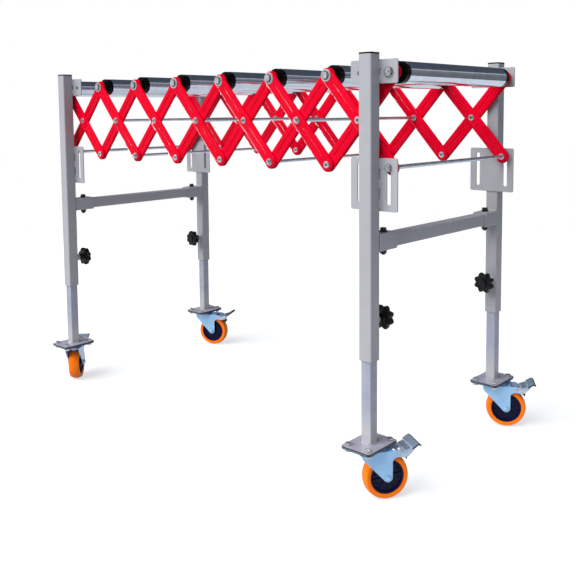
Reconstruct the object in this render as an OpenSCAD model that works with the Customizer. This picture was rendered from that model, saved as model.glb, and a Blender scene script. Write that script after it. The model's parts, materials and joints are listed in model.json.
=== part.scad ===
/* [Frame] */
// Distance from the middle of the table to each post, along the length
post_x = 571; // [300:1:900]
// Distance from the middle of the table to each post, across the width
post_y = 276; // [200:1:450]
// Outer size of the square post tube
post_w = 32; // [25:1:50]
// Wall of the post tube
post_wall = 1.6; // [1:0.1:3]
// Height of the lower end of the post above the floor
post_low = 308; // [200:1:450]
// Height of the upper end of the post above the floor
post_top = 956; // [700:1:1200]
// Thickness of the hanger plates
plate_t = 3; // [2:0.5:5]
// Width of the hanger plates
plate_w = 120; // [90:1:160]

/* [Scissor lattice] */
// Distance between two neighbouring crossings
pitch = 174; // [120:1:190]
// Height of the top pins above the floor
z_top = 918; // [700:1:1150]
// Half the height between top and bottom pins
half_h = 99; // [70:1:125]
// Width of a scissor link
link_w = 34; // [26:1:44]

/* [Rollers] */
// Outer diameter of a roller tube
roller_d = 48; // [38:1:60]
// Length of a roller tube
roller_len = 424; // [300:1:424]

/* [Legs and casters] */
// Outer size of the telescoping inner tube
inner_w = 25.4; // [20:0.2:28]
// Diameter of a caster wheel
wheel_d = 102; // [75:1:130]
// Distance from the swivel axis to the wheel axle
trail = 36; // [20:1:50]
// Direction in which the front right caster trails
swivel_fr = 57; // [0:1:360]
// Direction in which the back right caster trails
swivel_br = 32; // [0:1:360]
// Direction in which the front left caster trails
swivel_fl = 135; // [0:1:360]
// Direction in which the back left caster trails
swivel_bl = 26; // [0:1:360]

/* [Hidden] */
$fn = 64;
// half width of the lattice, from the middle to the end pins
end_x = 3.5 * pitch;
off_x = end_x - post_x;
z_mid = z_top - half_h;
z_low = z_top - 2 * half_h;
arm = sqrt(pitch * pitch / 4 + half_h * half_h);
tilt = atan2(half_h, pitch / 2);
// inner face of a front post, and of its plates
face_y = post_y - post_w / 2;
in_y = face_y - plate_t;
// layers of the front lattice, and how far behind it the back lattice is: each link has a flat web with its edges turned back
a0 = -(in_y - 6.5);
a1 = a0 + 2;
a2 = a0 + 6;
b0 = a2 + 0.3;
b1 = b0 + 2;
b2 = b0 + 6;
shift_y = -a0 - b2;
pin_r = 5;
hole_r = 5.05;
rod_r = 4;
slot_w = 10;
slot_z0 = 642;
slot_z1 = 728;
bar_z = 560;
knob_z = 392;
bolt_y = 225;
base_z = 126;

// a flat shape in the XZ plane, from y0 to y1
module slab(y0, y1) { translate([0, y1, 0]) rotate([90, 0, 0]) linear_extrude(height = y1 - y0) children(); }
// a round bar along Y
module ycyl(y0, y1, r) { translate([0, y1, 0]) rotate([90, 0, 0]) cylinder(h = y1 - y0, r = r); }
// a hexagonal bar along Y
module yhex(y0, y1, r) { translate([0, y1, 0]) rotate([90, 0, 0]) cylinder(h = y1 - y0, r = r, $fn = 6); }
// the same thing at the front and, mirrored, at the back
module both_y() { children(); mirror([0, 1, 0]) children(); }

// ---------- scissor links ----------
module capsule(l, w) { translate([-l, -w / 2]) square([2 * l, w]); translate([-l, 0]) circle(d = w); translate([l, 0]) circle(d = w); }
module bead(w) { for (s = [-1, 1]) translate([s * arm / 2, 0]) capsule(arm / 2 - 27, w); }
module pin_holes() { circle(r = hole_r); for (s = [-1, 1]) translate([s * arm, 0]) circle(r = hole_r); }
// flat web in front, with a pressed groove, and the edges turned back
module link(y) {
  difference() { slab(y, y + 2) difference() { capsule(arm, link_w); pin_holes(); } slab(y - 1, y + 0.9) bead(3); }
  slab(y + 1.9, y + 6) difference() { capsule(arm, link_w); capsule(arm, link_w - 4.4); }
  slab(y + 1.9, y + 3) bead(5);
}
function xm(k) = -end_x + (k - 0.5) * pitch;
function xt(k) = -end_x + k * pitch;
module link_down(k) { color("#e0102c") for (y = [0, shift_y]) translate([xm(k), y, z_mid]) rotate([0, tilt, 0]) link(a0); }
module link_up(k) { color("#e0102c") for (y = [0, shift_y]) translate([xm(k), y, z_mid]) rotate([0, -tilt, 0]) link(b0); }

// ---------- pins, rods and roller axles ----------
// tubular rivet through one lattice; b is 0 in front, shift_y at the back
module rivet(b) translate([0, b, 0]) difference() {
  union() { ycyl(a0 - 2.2, b1 + 2.6, pin_r); ycyl(a0 - 2.2, a0 - 0.3, 8); ycyl(b1 + 0.3, b1 + 2.8, 7.5); }
  ycyl(a0 - 2.3, a0 - 0.8, 3);
  ycyl(b1 + 1.4, b1 + 2.9, 3);
}
module rivets() { rivet(0); rivet(shift_y); }
// outer and inner faces of the front and the back lattice
fo = a0; fi = b1; bi = a0 + shift_y; bo = b1 + shift_y;
cap_y = roller_len / 2 + 19.3;
// thin cross rod from lattice to lattice, with a washer, a nut and a stub at each end
module cross_rod() {
  ycyl(fo - 9.5, fi + 3.3, pin_r); ycyl(fo - 1.8, fo - 0.3, 8); yhex(fo - 6.3, fo - 1.7, 7.2); ycyl(fi + 0.3, fi + 3.3, 8);
  ycyl(bi - 3.3, bo + 9.5, pin_r); ycyl(bo + 0.3, bo + 1.8, 8); yhex(bo + 1.7, bo + 6.3, 7.2); ycyl(bi - 3.3, bi - 0.3, 8);
  ycyl(fi + 3, bi - 3, rod_r);
}
// roller axle between two inner joints of the lattice
module axle() {
  ycyl(fo - 1, bo + 1, pin_r);
  ycyl(fo - 2, fo - 0.3, 14); yhex(fo - 6, fo - 1.9, 7.8); ycyl(fi + 0.3, -cap_y, 8);
  ycyl(bo + 0.3, bo + 2, 13.5); yhex(bo + 1.9, bo + 6, 7.8); ycyl(cap_y, bi - 0.3, 8);
}
// axle that goes on through the hanger plates; s0 and s1 are the outer spacer ends in front and at the back
module end_axle(s0, s1, n0, n1) {
  ycyl(-face_y - 8, face_y + 8, pin_r);
  both_y() { ycyl(-face_y - 1.8, -face_y - 0.3, 12); yhex(-face_y - 8, -face_y - 1.7, 9.8); }
  ycyl(-in_y + 0.3, s0, 8); ycyl(n0, -cap_y, 8);
  ycyl(s1, in_y - 0.3, 8); ycyl(cap_y, n1, 8);
}
// rod that slides in the long slots
module slot_rod(s0, s1, n0, n1) {
  ycyl(-face_y - 6, face_y + 6, rod_r + 0.7);
  both_y() { ycyl(-face_y - 2.3, -face_y - 0.3, 9); yhex(-face_y - 7, -face_y - 2.2, 8); }
  ycyl(-in_y + 0.3, s0, 8); ycyl(n0, n0 + 4, 8);
  ycyl(s1, in_y - 0.3, 8); ycyl(n1 - 4, n1, 8);
}
module slot_rod_body(s0, s1, n0, n1) { slot_rod(s0, s1, n0, n1); ycyl(s0 - 0.1, n0 + 0.1, pin_r); ycyl(n1 - 0.1, s1 + 0.1, pin_r); }
module pins(k) color("#c8ccd2") {
  translate([xt(k), 0, z_top]) if (k < 7) axle(); else end_axle(b0 - 0.3, bo + 0.3, fi + 0.3, b0 + shift_y - 0.3);
  translate([xm(k), 0, z_mid]) if (k % 2 == 0) cross_rod(); else rivets();
  translate([xt(k - 1), 0, z_low])
    if (k == 1) slot_rod_body(b0 - 0.3, bo + 0.3, fi + 0.3, b0 + shift_y - 0.3);
    else if (k == 3 || k == 6) cross_rod(); else rivets();
}
module rod_end() color("#c8ccd2") translate([xt(7), 0, z_low]) slot_rod_body(fo - 0.3, a1 + shift_y + 0.3, a1 + 0.3, bi - 0.3);

// ---------- rollers ----------
module roller(k) translate([xt(k), 0, z_top]) {
  color("#b9bec6") difference() { ycyl(-roller_len / 2, roller_len / 2, roller_d / 2); ycyl(-roller_len / 2 - 1, roller_len / 2 + 1, roller_d / 2 - 1.5); }
  color("#15161a") both_y() difference() {
    union() {
      ycyl(-roller_len / 2 - 16, -roller_len / 2 - 0.1, roller_d / 2 - 0.3);
      ycyl(-roller_len / 2 - 19, -roller_len / 2 - 15, roller_d / 2 - 5);
      ycyl(-roller_len / 2 - 1, -roller_len / 2 + 18, roller_d / 2 - 1.6);
    }
    ycyl(-roller_len / 2 - 20, -roller_len / 2 + 20, hole_r);
  }
}

// ---------- frames ----------
// s is 1 for a front post, which faces +Y; at the origin is the floor point under the post
module post() {
  difference() {
    translate([-post_w / 2, -post_w / 2, post_low]) cube([post_w, post_w, post_top - post_low]);
    translate([-post_w / 2 + post_wall, -post_w / 2 + post_wall, post_low - 1]) cube([post_w - 2 * post_wall, post_w - 2 * post_wall, post_top - post_low + 2]);
    translate([0, 0, knob_z]) ycyl(0, post_w, pin_r + 0.1);
  }
  // upper hanger plate, with the same holes on both sides of the post
  difference() {
    translate([-plate_w / 2, post_w / 2, z_top - 23]) cube([plate_w, plate_t, 50]);
    for (s = [-1, 1]) translate([s * off_x, 0, z_top]) ycyl(post_w / 2 - 1, post_w / 2 + plate_t + 1, hole_r);
  }
  // lower plate with two long slots
  difference() {
    translate([-plate_w / 2, post_w / 2, 628]) cube([plate_w, plate_t, 112]);
    for (s = [-1, 1]) translate([s * off_x, 0, 0]) {
      translate([-slot_w / 2, post_w / 2 - 1, slot_z0 + slot_w / 2]) cube([slot_w, plate_t + 2, slot_z1 - slot_z0 - slot_w]);
      for (z = [slot_z0 + slot_w / 2, slot_z1 - slot_w / 2]) translate([0, 0, z]) ycyl(post_w / 2 - 1, post_w / 2 + plate_t + 1, slot_w / 2);
    }
  }
  // threaded boss for the knob
  translate([0, 0, knob_z]) difference() { ycyl(post_w / 2, post_w / 2 + 12, 10); ycyl(post_w / 2 - 1, post_w / 2 + 13, pin_r + 0.1); }
  // socket for the crossbar
  translate([0, 0, bar_z]) difference() {
    translate([-18.5, post_w / 2, -18.5]) cube([37, 62, 37]);
    translate([-15.6, post_w / 2 + 0.01, -15.6]) cube([31.2, 63, 31.2]);
    translate([0, face_y_rel(), -20]) cylinder(h = 40, r = 4.3);
  }
}
function face_y_rel() = post_y - bolt_y;
module posts(s) color("#c3c5ca") translate([s * post_x, 0, 0]) both_y() translate([0, -post_y, 0]) post();
module crossbar(s) color("#bfc2c8") translate([s * post_x, 0, bar_z]) difference() {
  translate([-15, -face_y + 0.6, -15]) cube([30, 2 * face_y - 1.2, 30]);
  translate([-13, -face_y - 1, -13]) cube([26, 2 * face_y + 2, 26]);
  both_y() translate([0, -bolt_y, -20]) cylinder(h = 40, r = 4.3);
}
module cap_bolts() {
  // black cap in the top of each post
  color("#17181b") both_y() translate([0, -post_y, post_top]) {
    translate([-post_w / 2, -post_w / 2, 0.05]) cube([post_w, post_w, 2.5]);
    difference() {
      translate([-post_w / 2 + post_wall + 0.1, -post_w / 2 + post_wall + 0.1, -12]) cube([post_w - 2 * post_wall - 0.2, post_w - 2 * post_wall - 0.2, 12.1]);
      translate([-post_w / 2 + post_wall + 2, -post_w / 2 + post_wall + 2, -13]) cube([post_w - 2 * post_wall - 4, post_w - 2 * post_wall - 4, 11]);
    }
  }
  // bolt down through each socket and the bar in it, with black washers
  both_y() translate([0, -bolt_y, bar_z]) {
    color("#c8ccd2") { translate([0, 0, -31]) cylinder(h = 57, r = 4); translate([0, 0, 22.6]) cylinder(h = 5.4, r = 7.5, $fn = 6); translate([0, 0, -28.6]) cylinder(h = 6, r = 7.5, $fn = 6); }
    color("#17181b") for (z = [18.55, -22.55]) translate([0, 0, z]) difference() { cylinder(h = 4, r = 8.5); translate([0, 0, -1]) cylinder(h = 6, r = 4.05); }
  }
}
module fittings(s) {
  translate([s * post_x, 0, 0]) cap_bolts();
  if (s < 0) color("#c8ccd2") translate([xt(0), 0, z_top]) end_axle(fo - 0.3, a1 + shift_y + 0.3, a1 + 0.3, bi - 0.3);
}

// ---------- legs ----------
module leg(s, t) translate([s * post_x, t * post_y, 0]) {
  color("#c6cbd3") {
    difference() {
      translate([-inner_w / 2, -inner_w / 2, base_z - 0.5]) cube([inner_w, inner_w, 566 - base_z]);
      translate([-inner_w / 2 + 2, -inner_w / 2 + 2, base_z]) cube([inner_w - 4, inner_w - 4, 566 - base_z + 1]);
    }
    difference() {
      translate([-37.5, -52.5, base_z - 4]) cube([75, 105, 4]);
      for (x = [-26, 26], y = [-40, 40]) translate([x, y, base_z - 5]) cylinder(h = 6, r = 4.1);
    }
  }
  // top plate of the caster with its king pin
  color("#b7c4d2") {
    difference() {
      translate([-37.5, -52.5, base_z - 7.05]) cube([75, 105, 3]);
      for (x = [-26, 26], y = [-40, 40]) translate([x, y, base_z - 8]) cylinder(h = 5, r = 4.1);
    }
    translate([0, 0, 101]) cylinder(h = 19, r = 6);
    translate([0, 0, 100]) cylinder(h = 7.6, r = 9.5);
  }
  color("#d2d6db") for (x = [-26, 26], y = [-40, 40]) translate([x, y, 0]) {
    translate([0, 0, base_z - 14.2]) cylinder(h = 15.2, r = 4);
    translate([0, 0, base_z + 0.05]) cylinder(h = 5.3, r = 7.5, $fn = 6);
    translate([0, 0, base_z - 13.5]) cylinder(h = 6.4, r = 7.5, $fn = 6);
  }
}

// ---------- star knobs ----------
module knob(s, t) translate([s * post_x, 0, knob_z]) mirror([0, t > 0 ? 1 : 0, 0]) {
  color("#101114") {
    slab(-face_y + 26, -face_y + 44) union() { union() { circle(r = 20); for (a = [0:7]) rotate(a * 45 + 22.5) translate([20.5, 0]) circle(r = 6.5); } }
    ycyl(-face_y + 12.3, -face_y + 27, 10);
    ycyl(-face_y + 43, -face_y + 46, 11);
  }
  color("#c8ccd2") ycyl(-face_y - 3, -face_y + 12.4, pin_r);
}

// ---------- casters, drawn with the swivel axis at the origin and the wheel towards +X ----------
module at(s, t, a) translate([s * post_x, t * post_y, 0]) rotate([0, 0, a]) children();
wz = wheel_d / 2;
module fork_side() difference() {
  union() {
    polygon([[-24, 111], [-24, 100], [27.5, 45.7], [45.5, 48], [46, 93], [66, 96.5], [70, 102], [69, 107], [64, 111]]);
    translate([trail, wz]) circle(r = 10);
  }
  translate([trail, wz]) circle(r = hole_r);
  translate([62, 104]) circle(r = 3.05);
}
module fork(s, t, a) at(s, t, a) {
  color("#b5c6da") {
    for (y = [-22, 19.5]) slab(y, y + 2.5) fork_side();
    difference() {
      union() { translate([-24, -22, 108]) cube([72, 44, 3]); translate([0, 0, 108]) cylinder(h = 3, r = 27); translate([0, 0, 110.9]) cylinder(h = 7.8, r = 27); }
      translate([0, 0, 107]) cylinder(h = 13, r = 6.05);
    }
  }
  color("#d2d6db") translate([trail, 0, wz]) { ycyl(-28, 28, pin_r); yhex(-27.5, -22.1, 8.5); yhex(22.1, 28, 8.5); ycyl(-19.4, -17.4, 8); ycyl(17.4, 19.4, 8); }
}
module hub(s, t, a) at(s, t, a) color("#10142a") translate([trail, 0, wz]) difference() {
  union() { ycyl(-14, 14, 38.4); ycyl(-17, 17, 13); }
  ycyl(-18, 18, hole_r);
  both_y() difference() { ycyl(-14.1, -7, 34); ycyl(-15, -6, 15); }
}
module tyre(s, t, a) at(s, t, a) color("#ff9428") translate([trail, 0, wz]) rotate([90, 0, 0]) rotate_extrude()
  difference() {
    union() { translate([38.45, -15]) square([4.5, 30]); intersection() { translate([38.45, -16]) square([20, 32]); translate([wheel_d / 2 - 32, 0]) circle(r = 32); } }
    translate([30, -20]) square([8.45, 40]);
  }
// foot lever: two cheeks outside the fork, a tread plate that rises clear of the swivel plate, and a pad on a strut
press = 11;
module brake(s, t, a) at(s, t, a) {
  color("#b9c3cf") {
    slab(-24.6, 24.6) polygon([[71.2, 104.7], [80, 107.6], [88, 110.6], [92, 112.6], [91.2, 115.4], [87, 113.4], [79, 110.4], [71.6, 107.9]]);
    slab(-29, 29) polygon([[90, 111.6], [94, 113.6], [99, 117], [102, 119], [104.2, 119.4], [105, 117], [107.6, 117.8], [106.4, 121.4], [104.4, 122.4], [101.4, 122], [97.4, 119.4], [92.4, 116], [89.4, 114.5]]);
    for (y = [-24.6, 22.4]) slab(y, y + 2.2) polygon([[55.5, 107], [55.5, 100], [60, 96], [74, 94], [82, 97], [92, 106], [98, 116.2], [92, 112.8], [88, 111], [80, 108], [71, 105], [66, 108.6], [60, 110]]);
    translate([62, 0, 104]) ycyl(-24.5, 24.5, 3);
    slab(-10, 10) polygon([[74, 107], [74, 95], [81, 91], [84, 96], [83, 109.4]]);
  }
  color("#101114") slab(-10, 10) difference() {
    polygon([[70, 96], [70, 86], [79, 80], [84, 83.5], [85, 89.4], [81, 90.9], [74, 94.9]]);
    translate([trail, wz]) circle(r = wheel_d / 2 + 0.6);
    // the wheel as it lies when the lever is pressed
    translate([62, 104]) rotate(press) translate([trail - 62, wz - 104]) circle(r = wheel_d / 2 + 0.25);
  }
}

posts(1);  // posts_right
crossbar(1);  // crossbar_right
fittings(1);  // fittings_right
posts(-1);  // posts_left
crossbar(-1);  // crossbar_left
fittings(-1);  // fittings_left
link_up(1);  // link_up_1
link_up(2);  // link_up_2
link_up(3);  // link_up_3
link_up(4);  // link_up_4
link_up(5);  // link_up_5
link_up(6);  // link_up_6
link_up(7);  // link_up_7
link_down(1);  // link_down_1
link_down(2);  // link_down_2
link_down(3);  // link_down_3
link_down(4);  // link_down_4
link_down(5);  // link_down_5
link_down(6);  // link_down_6
link_down(7);  // link_down_7
pins(1);  // pins_1
pins(2);  // pins_2
pins(3);  // pins_3
pins(4);  // pins_4
pins(5);  // pins_5
pins(6);  // pins_6
pins(7);  // pins_7
rod_end();
roller(0);  // roller_0
roller(1);  // roller_1
roller(2);  // roller_2
roller(3);  // roller_3
roller(4);  // roller_4
roller(5);  // roller_5
roller(6);  // roller_6
roller(7);  // roller_7
leg(1, -1);  // leg_fr
leg(1, 1);  // leg_br
leg(-1, -1);  // leg_fl
leg(-1, 1);  // leg_bl
knob(1, -1);  // knob_fr
knob(1, 1);  // knob_br
knob(-1, -1);  // knob_fl
knob(-1, 1);  // knob_bl
fork(1, -1, swivel_fr);  // fork_fr
fork(1, 1, swivel_br);  // fork_br
fork(-1, -1, swivel_fl);  // fork_fl
fork(-1, 1, swivel_bl);  // fork_bl
hub(1, -1, swivel_fr);  // hub_fr
hub(1, 1, swivel_br);  // hub_br
hub(-1, -1, swivel_fl);  // hub_fl
hub(-1, 1, swivel_bl);  // hub_bl
tyre(1, -1, swivel_fr);  // tyre_fr
tyre(1, 1, swivel_br);  // tyre_br
tyre(-1, -1, swivel_fl);  // tyre_fl
tyre(-1, 1, swivel_bl);  // tyre_bl
brake(1, -1, swivel_fr);  // brake_fr
brake(1, 1, swivel_br);  // brake_br
brake(-1, -1, swivel_fl);  // brake_fl
brake(-1, 1, swivel_bl);  // brake_bl
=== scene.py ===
# Expandable roller conveyor table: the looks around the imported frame. All helper shapes are in millimetres.
import bpy
import bmesh
import json
import math
from mathutils import Matrix, Vector

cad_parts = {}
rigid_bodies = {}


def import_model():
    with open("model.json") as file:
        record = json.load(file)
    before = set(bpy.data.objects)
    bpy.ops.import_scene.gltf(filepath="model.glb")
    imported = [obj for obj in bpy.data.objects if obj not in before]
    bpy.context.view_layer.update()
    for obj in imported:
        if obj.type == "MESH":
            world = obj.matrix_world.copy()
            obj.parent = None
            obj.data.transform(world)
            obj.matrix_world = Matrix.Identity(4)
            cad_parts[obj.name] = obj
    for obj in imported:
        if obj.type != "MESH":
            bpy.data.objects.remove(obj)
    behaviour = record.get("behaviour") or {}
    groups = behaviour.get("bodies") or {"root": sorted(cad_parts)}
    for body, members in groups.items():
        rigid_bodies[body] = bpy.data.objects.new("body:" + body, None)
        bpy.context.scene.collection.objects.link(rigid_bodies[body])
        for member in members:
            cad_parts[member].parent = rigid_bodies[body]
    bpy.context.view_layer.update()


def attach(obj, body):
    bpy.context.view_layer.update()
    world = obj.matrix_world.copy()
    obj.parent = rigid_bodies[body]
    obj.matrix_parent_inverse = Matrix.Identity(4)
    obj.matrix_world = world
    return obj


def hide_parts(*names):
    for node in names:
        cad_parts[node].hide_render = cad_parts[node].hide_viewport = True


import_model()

# ------------------------------------------------------------------ sizes, as in the construction
POST_X, POST_Y, POST_W, WALL = 571.0, 276.0, 32.0, 1.6
POST_LOW, POST_TOP = 308.0, 956.0
PLATE_T, PLATE_W = 3.0, 120.0
PITCH, ZT, HALF = 174.0, 918.0, 99.0
ZM, ZL = ZT - HALF, ZT - 2 * HALF
END = 3.5 * PITCH
OFF = END - POST_X
ARM = math.hypot(PITCH / 2, HALF)
TILT = math.atan2(HALF, PITCH / 2)
LINK_W = 34.0
ROLLER_D, ROLLER_L = 48.0, 424.0
FACE, INY = POST_Y - POST_W / 2, POST_Y - POST_W / 2 - PLATE_T
A0 = -(INY - 6.5)
B0 = A0 + 6.3
SHIFT = -A0 - (B0 + 6)
FO, FI, BI, BO = A0, B0 + 2, A0 + SHIFT, B0 + 2 + SHIFT
CAP_Y = ROLLER_L / 2 + 19.3
BAR_Z, KNOB_Z, BOLT_Y, BASE_Z = 560.0, 392.0, 225.0, 126.0
WHEEL_D, TRAIL, WZ = 102.0, 36.0, 51.0
CORNERS = {"fr": (1, -1, 57), "br": (1, 1, 32), "fl": (-1, -1, 135), "bl": (-1, 1, 26)}


def xt(k):
    return -END + PITCH * k


def xm(k):
    return -END + PITCH * (k - 0.5)


# ------------------------------------------------------------------ shape helpers
def face_weighted(ob):
    """Keeps flat faces flat next to small rounded edges."""
    m = ob.modifiers.new("face_weighted", "WEIGHTED_NORMAL")
    m.keep_sharp = True
    m.weight = 50
    m.mode = "FACE_AREA"


class Geo:
    """Collects solids in millimetres, each with a material index."""

    def __init__(self):
        self.v, self.f, self.m = [], [], []

    def add(self, part, M=None, mat=0):
        verts, faces = part
        o = len(self.v)
        flip = M is not None and M.determinant() < 0
        for p in verts:
            self.v.append(tuple(M @ Vector(p)) if M is not None else tuple(p))
        for f in faces:
            f = tuple(i + o for i in f)
            self.f.append(tuple(reversed(f)) if flip else f)
            self.m.append(mat)
        return self

    def obj(self, name, mats, body, replaces=(), slot=None, angle=32, weld=0.004):
        me = bpy.data.meshes.new(name)
        me.from_pydata([(x * 0.001, y * 0.001, z * 0.001) for x, y, z in self.v], [], self.f)
        mats = mats if isinstance(mats, (list, tuple)) else [mats]
        for m in mats:
            me.materials.append(m)
        me.polygons.foreach_set("material_index", self.m)
        bm = bmesh.new()
        bm.from_mesh(me)
        bmesh.ops.remove_doubles(bm, verts=bm.verts, dist=weld * 0.001)
        bmesh.ops.dissolve_degenerate(bm, edges=bm.edges, dist=weld * 0.0005)
        bmesh.ops.recalc_face_normals(bm, faces=bm.faces)
        lim = math.radians(angle)
        for f in bm.faces:
            f.smooth = True
        for e in bm.edges:
            if len(e.link_faces) == 2:
                e.smooth = e.calc_face_angle(0) < lim
        bm.to_mesh(me)
        bm.free()
        ob = bpy.data.objects.new(name, me)
        bpy.context.scene.collection.objects.link(ob)
        face_weighted(ob)
        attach(ob, body)
        for n in ([replaces] if isinstance(replaces, str) else replaces):
            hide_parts(n)
        return ob


def T(x=0, y=0, z=0):
    return Matrix.Translation((x, y, z))


def R(deg, axis):
    return Matrix.Rotation(math.radians(deg), 4, axis)


# local +Z becomes world -Y (outward in front) or world +Y (outward at the back)
TO_FRONT = R(90, "X")
TO_BACK = R(-90, "X")


def lathe(profile, n=48, closed=False):
    """Revolves (radius, height) points about Z."""
    verts, rings, faces = [], [], []
    for r, z in profile:
        if r < 1e-6:
            rings.append([len(verts)])
            verts.append((0, 0, z))
        else:
            ids = []
            for i in range(n):
                a = 2 * math.pi * i / n
                ids.append(len(verts))
                verts.append((r * math.cos(a), r * math.sin(a), z))
            rings.append(ids)
    pairs = list(zip(rings, rings[1:])) + ([(rings[-1], rings[0])] if closed else [])
    for a, b in pairs:
        for i in range(n):
            j = (i + 1) % n
            if len(a) == 1 and len(b) == 1:
                continue
            if len(a) == 1:
                faces.append((a[0], b[i], b[j]))
            elif len(b) == 1:
                faces.append((a[i], b[0], a[j]))
            else:
                faces.append((a[i], b[i], b[j], a[j]))
    return verts, faces


def rod(r, z0, z1, ch=0.5, n=32):
    return lathe([(0, z0), (r - ch, z0), (r, z0 + ch), (r, z1 - ch), (r - ch, z1), (0, z1)], n)


def threaded(r, z0, z1, pitch=1.25, n=28, ch=1.0):
    """A stub whose thread shows as fine grooves."""
    pts = [(0, z0), (r - 0.55, z0)]
    z = z0
    while z + pitch < z1 - ch:
        pts += [(r - 0.6, z + pitch * 0.12), (r, z + pitch * 0.45), (r, z + pitch * 0.6), (r - 0.6, z + pitch * 0.95)]
        z += pitch
    pts += [(r - 0.6, z1 - ch), (r - 1.3, z1 - 0.1), (r - 1.5, z1), (0, z1)]
    return lathe(pts, n)


def ring(r0, r1, z0, z1, ch=0.35, n=40):
    """A washer or collar."""
    return lathe([(r0, z0 + ch), (r0 + ch, z0), (r1 - ch, z0), (r1, z0 + ch), (r1, z1 - ch), (r1 - ch, z1), (r0 + ch, z1), (r0, z1 - ch)], n, closed=True)


def hexpiece(af, z0, z1, bore=0.0, top_cut=True, low_cut=True, dish=0.0, n=60, turn=0.0):
    """A hexagon nut (bore > 0) or bolt head, chamfered at its corners."""
    rc = af / 2 * 0.965
    verts, rings, faces = [], [], []
    ang = [2 * math.pi * i / n for i in range(n)]

    def rad(a):
        b = (a % (math.pi / 3)) - math.pi / 6
        return af / 2 / math.cos(b)

    def put(fn):
        ids = []
        for a in ang:
            r, z = fn(a)
            ids.append(len(verts))
            verts.append((r * math.cos(a + turn), r * math.sin(a + turn), z))
        rings.append(ids)

    t30 = math.tan(math.radians(30))
    if bore:
        put(lambda a: (bore, z0 + 0.5))
        put(lambda a: (bore + 0.5, z0))
    put(lambda a: (rc, z0))
    put(lambda a: (rad(a), z0 + ((rad(a) - rc) * t30 if low_cut else 0.15)))
    put(lambda a: (rad(a), z1 - ((rad(a) - rc) * t30 if top_cut else 0.15)))
    put(lambda a: (rc, z1))
    if bore:
        put(lambda a: (bore + 0.5, z1))
        put(lambda a: (bore, z1 - 0.5))
    elif dish:
        put(lambda a: (rc * 0.8, z1))
        put(lambda a: (rc * 0.7, z1 - dish))
    for a, b in list(zip(rings, rings[1:])) + ([(rings[-1], rings[0])] if bore else []):
        for i in range(n):
            j = (i + 1) % n
            faces.append((a[i], b[i], b[j], a[j]))
    if not bore:
        c = len(verts)
        verts.append((0, 0, z0))
        verts.append((0, 0, z1 - dish))
        for i in range(n):
            j = (i + 1) % n
            faces.append((c, rings[0][j], rings[0][i]))
            faces.append((c + 1, rings[-1][i], rings[-1][j]))
    return verts, faces


def inset(poly, d):
    """The outline moved inwards by d, along its corners' own directions. poly is counter-clockwise."""
    n, out = len(poly), []
    for i in range(n):
        p0, p1, p2 = Vector(poly[i - 1]), Vector(poly[i]), Vector(poly[(i + 1) % n])
        e1, e2 = (p1 - p0).normalized(), (p2 - p1).normalized()
        n1, n2 = Vector((-e1.y, e1.x)), Vector((-e2.y, e2.x))
        m = n1 + n2
        if m.length < 1e-6:
            out.append(tuple(p1))
            continue
        m.normalize()
        c = max(0.45, m.dot(n1))
        q = p1 + m * (d / c)
        out.append((q.x, q.y))
    return out


def prism(poly, z0, z1, b=0.6, k=3):
    """An outline in XY drawn out from z0 to z1 with rounded edges."""
    area = sum(poly[i - 1][0] * poly[i][1] - poly[i][0] * poly[i - 1][1] for i in range(len(poly)))
    if area < 0:
        poly = list(reversed(poly))
    n, verts, rings, faces = len(poly), [], [], []
    levels = []
    for i in range(k + 1):
        a = math.pi / 2 * i / k
        levels.append((b * (1 - math.sin(a)), z0 + b * (1 - math.cos(a))))
    for i in range(k, -1, -1):
        a = math.pi / 2 * i / k
        levels.append((b * (1 - math.sin(a)), z1 - b * (1 - math.cos(a))))
    for d, z in levels:
        ids = []
        for x, y in (inset(poly, d) if d > 1e-6 else poly):
            ids.append(len(verts))
            verts.append((x, y, z))
        rings.append(ids)
    for a, c in zip(rings, rings[1:]):
        for i in range(n):
            j = (i + 1) % n
            faces.append((a[i], a[j], c[j], c[i]))
    faces.append(tuple(reversed(rings[0])))
    faces.append(tuple(rings[-1]))
    return verts, faces


def rrect(w, h, r, seg=5, cx=0.0, cy=0.0):
    """Counter-clockwise rectangle with rounded corners."""
    pts = []
    for sx, sy, a0 in ((1, 1, 0), (-1, 1, 90), (-1, -1, 180), (1, -1, 270)):
        for i in range(seg + 1):
            a = math.radians(a0 + 90 * i / seg)
            pts.append((cx + sx * (w / 2 - r) + r * math.cos(a), cy + sy * (h / 2 - r) + r * math.sin(a)))
    return pts


def circle_pts(r, n=32, cx=0.0, cy=0.0):
    return [(cx + r * math.cos(2 * math.pi * i / n), cy + r * math.sin(2 * math.pi * i / n)) for i in range(n)]


def slot_pts(w, length, cx=0.0, cy=0.0, n=12):
    """A vertical slot outline, length from end to end."""
    r, pts = w / 2, []
    for i in range(n + 1):
        a = math.pi * i / n
        pts.append((cx + r * math.cos(a), cy + length / 2 - r + r * math.sin(a)))
    for i in range(n + 1):
        a = math.pi + math.pi * i / n
        pts.append((cx + r * math.cos(a), cy - length / 2 + r + r * math.sin(a)))
    return pts


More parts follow.
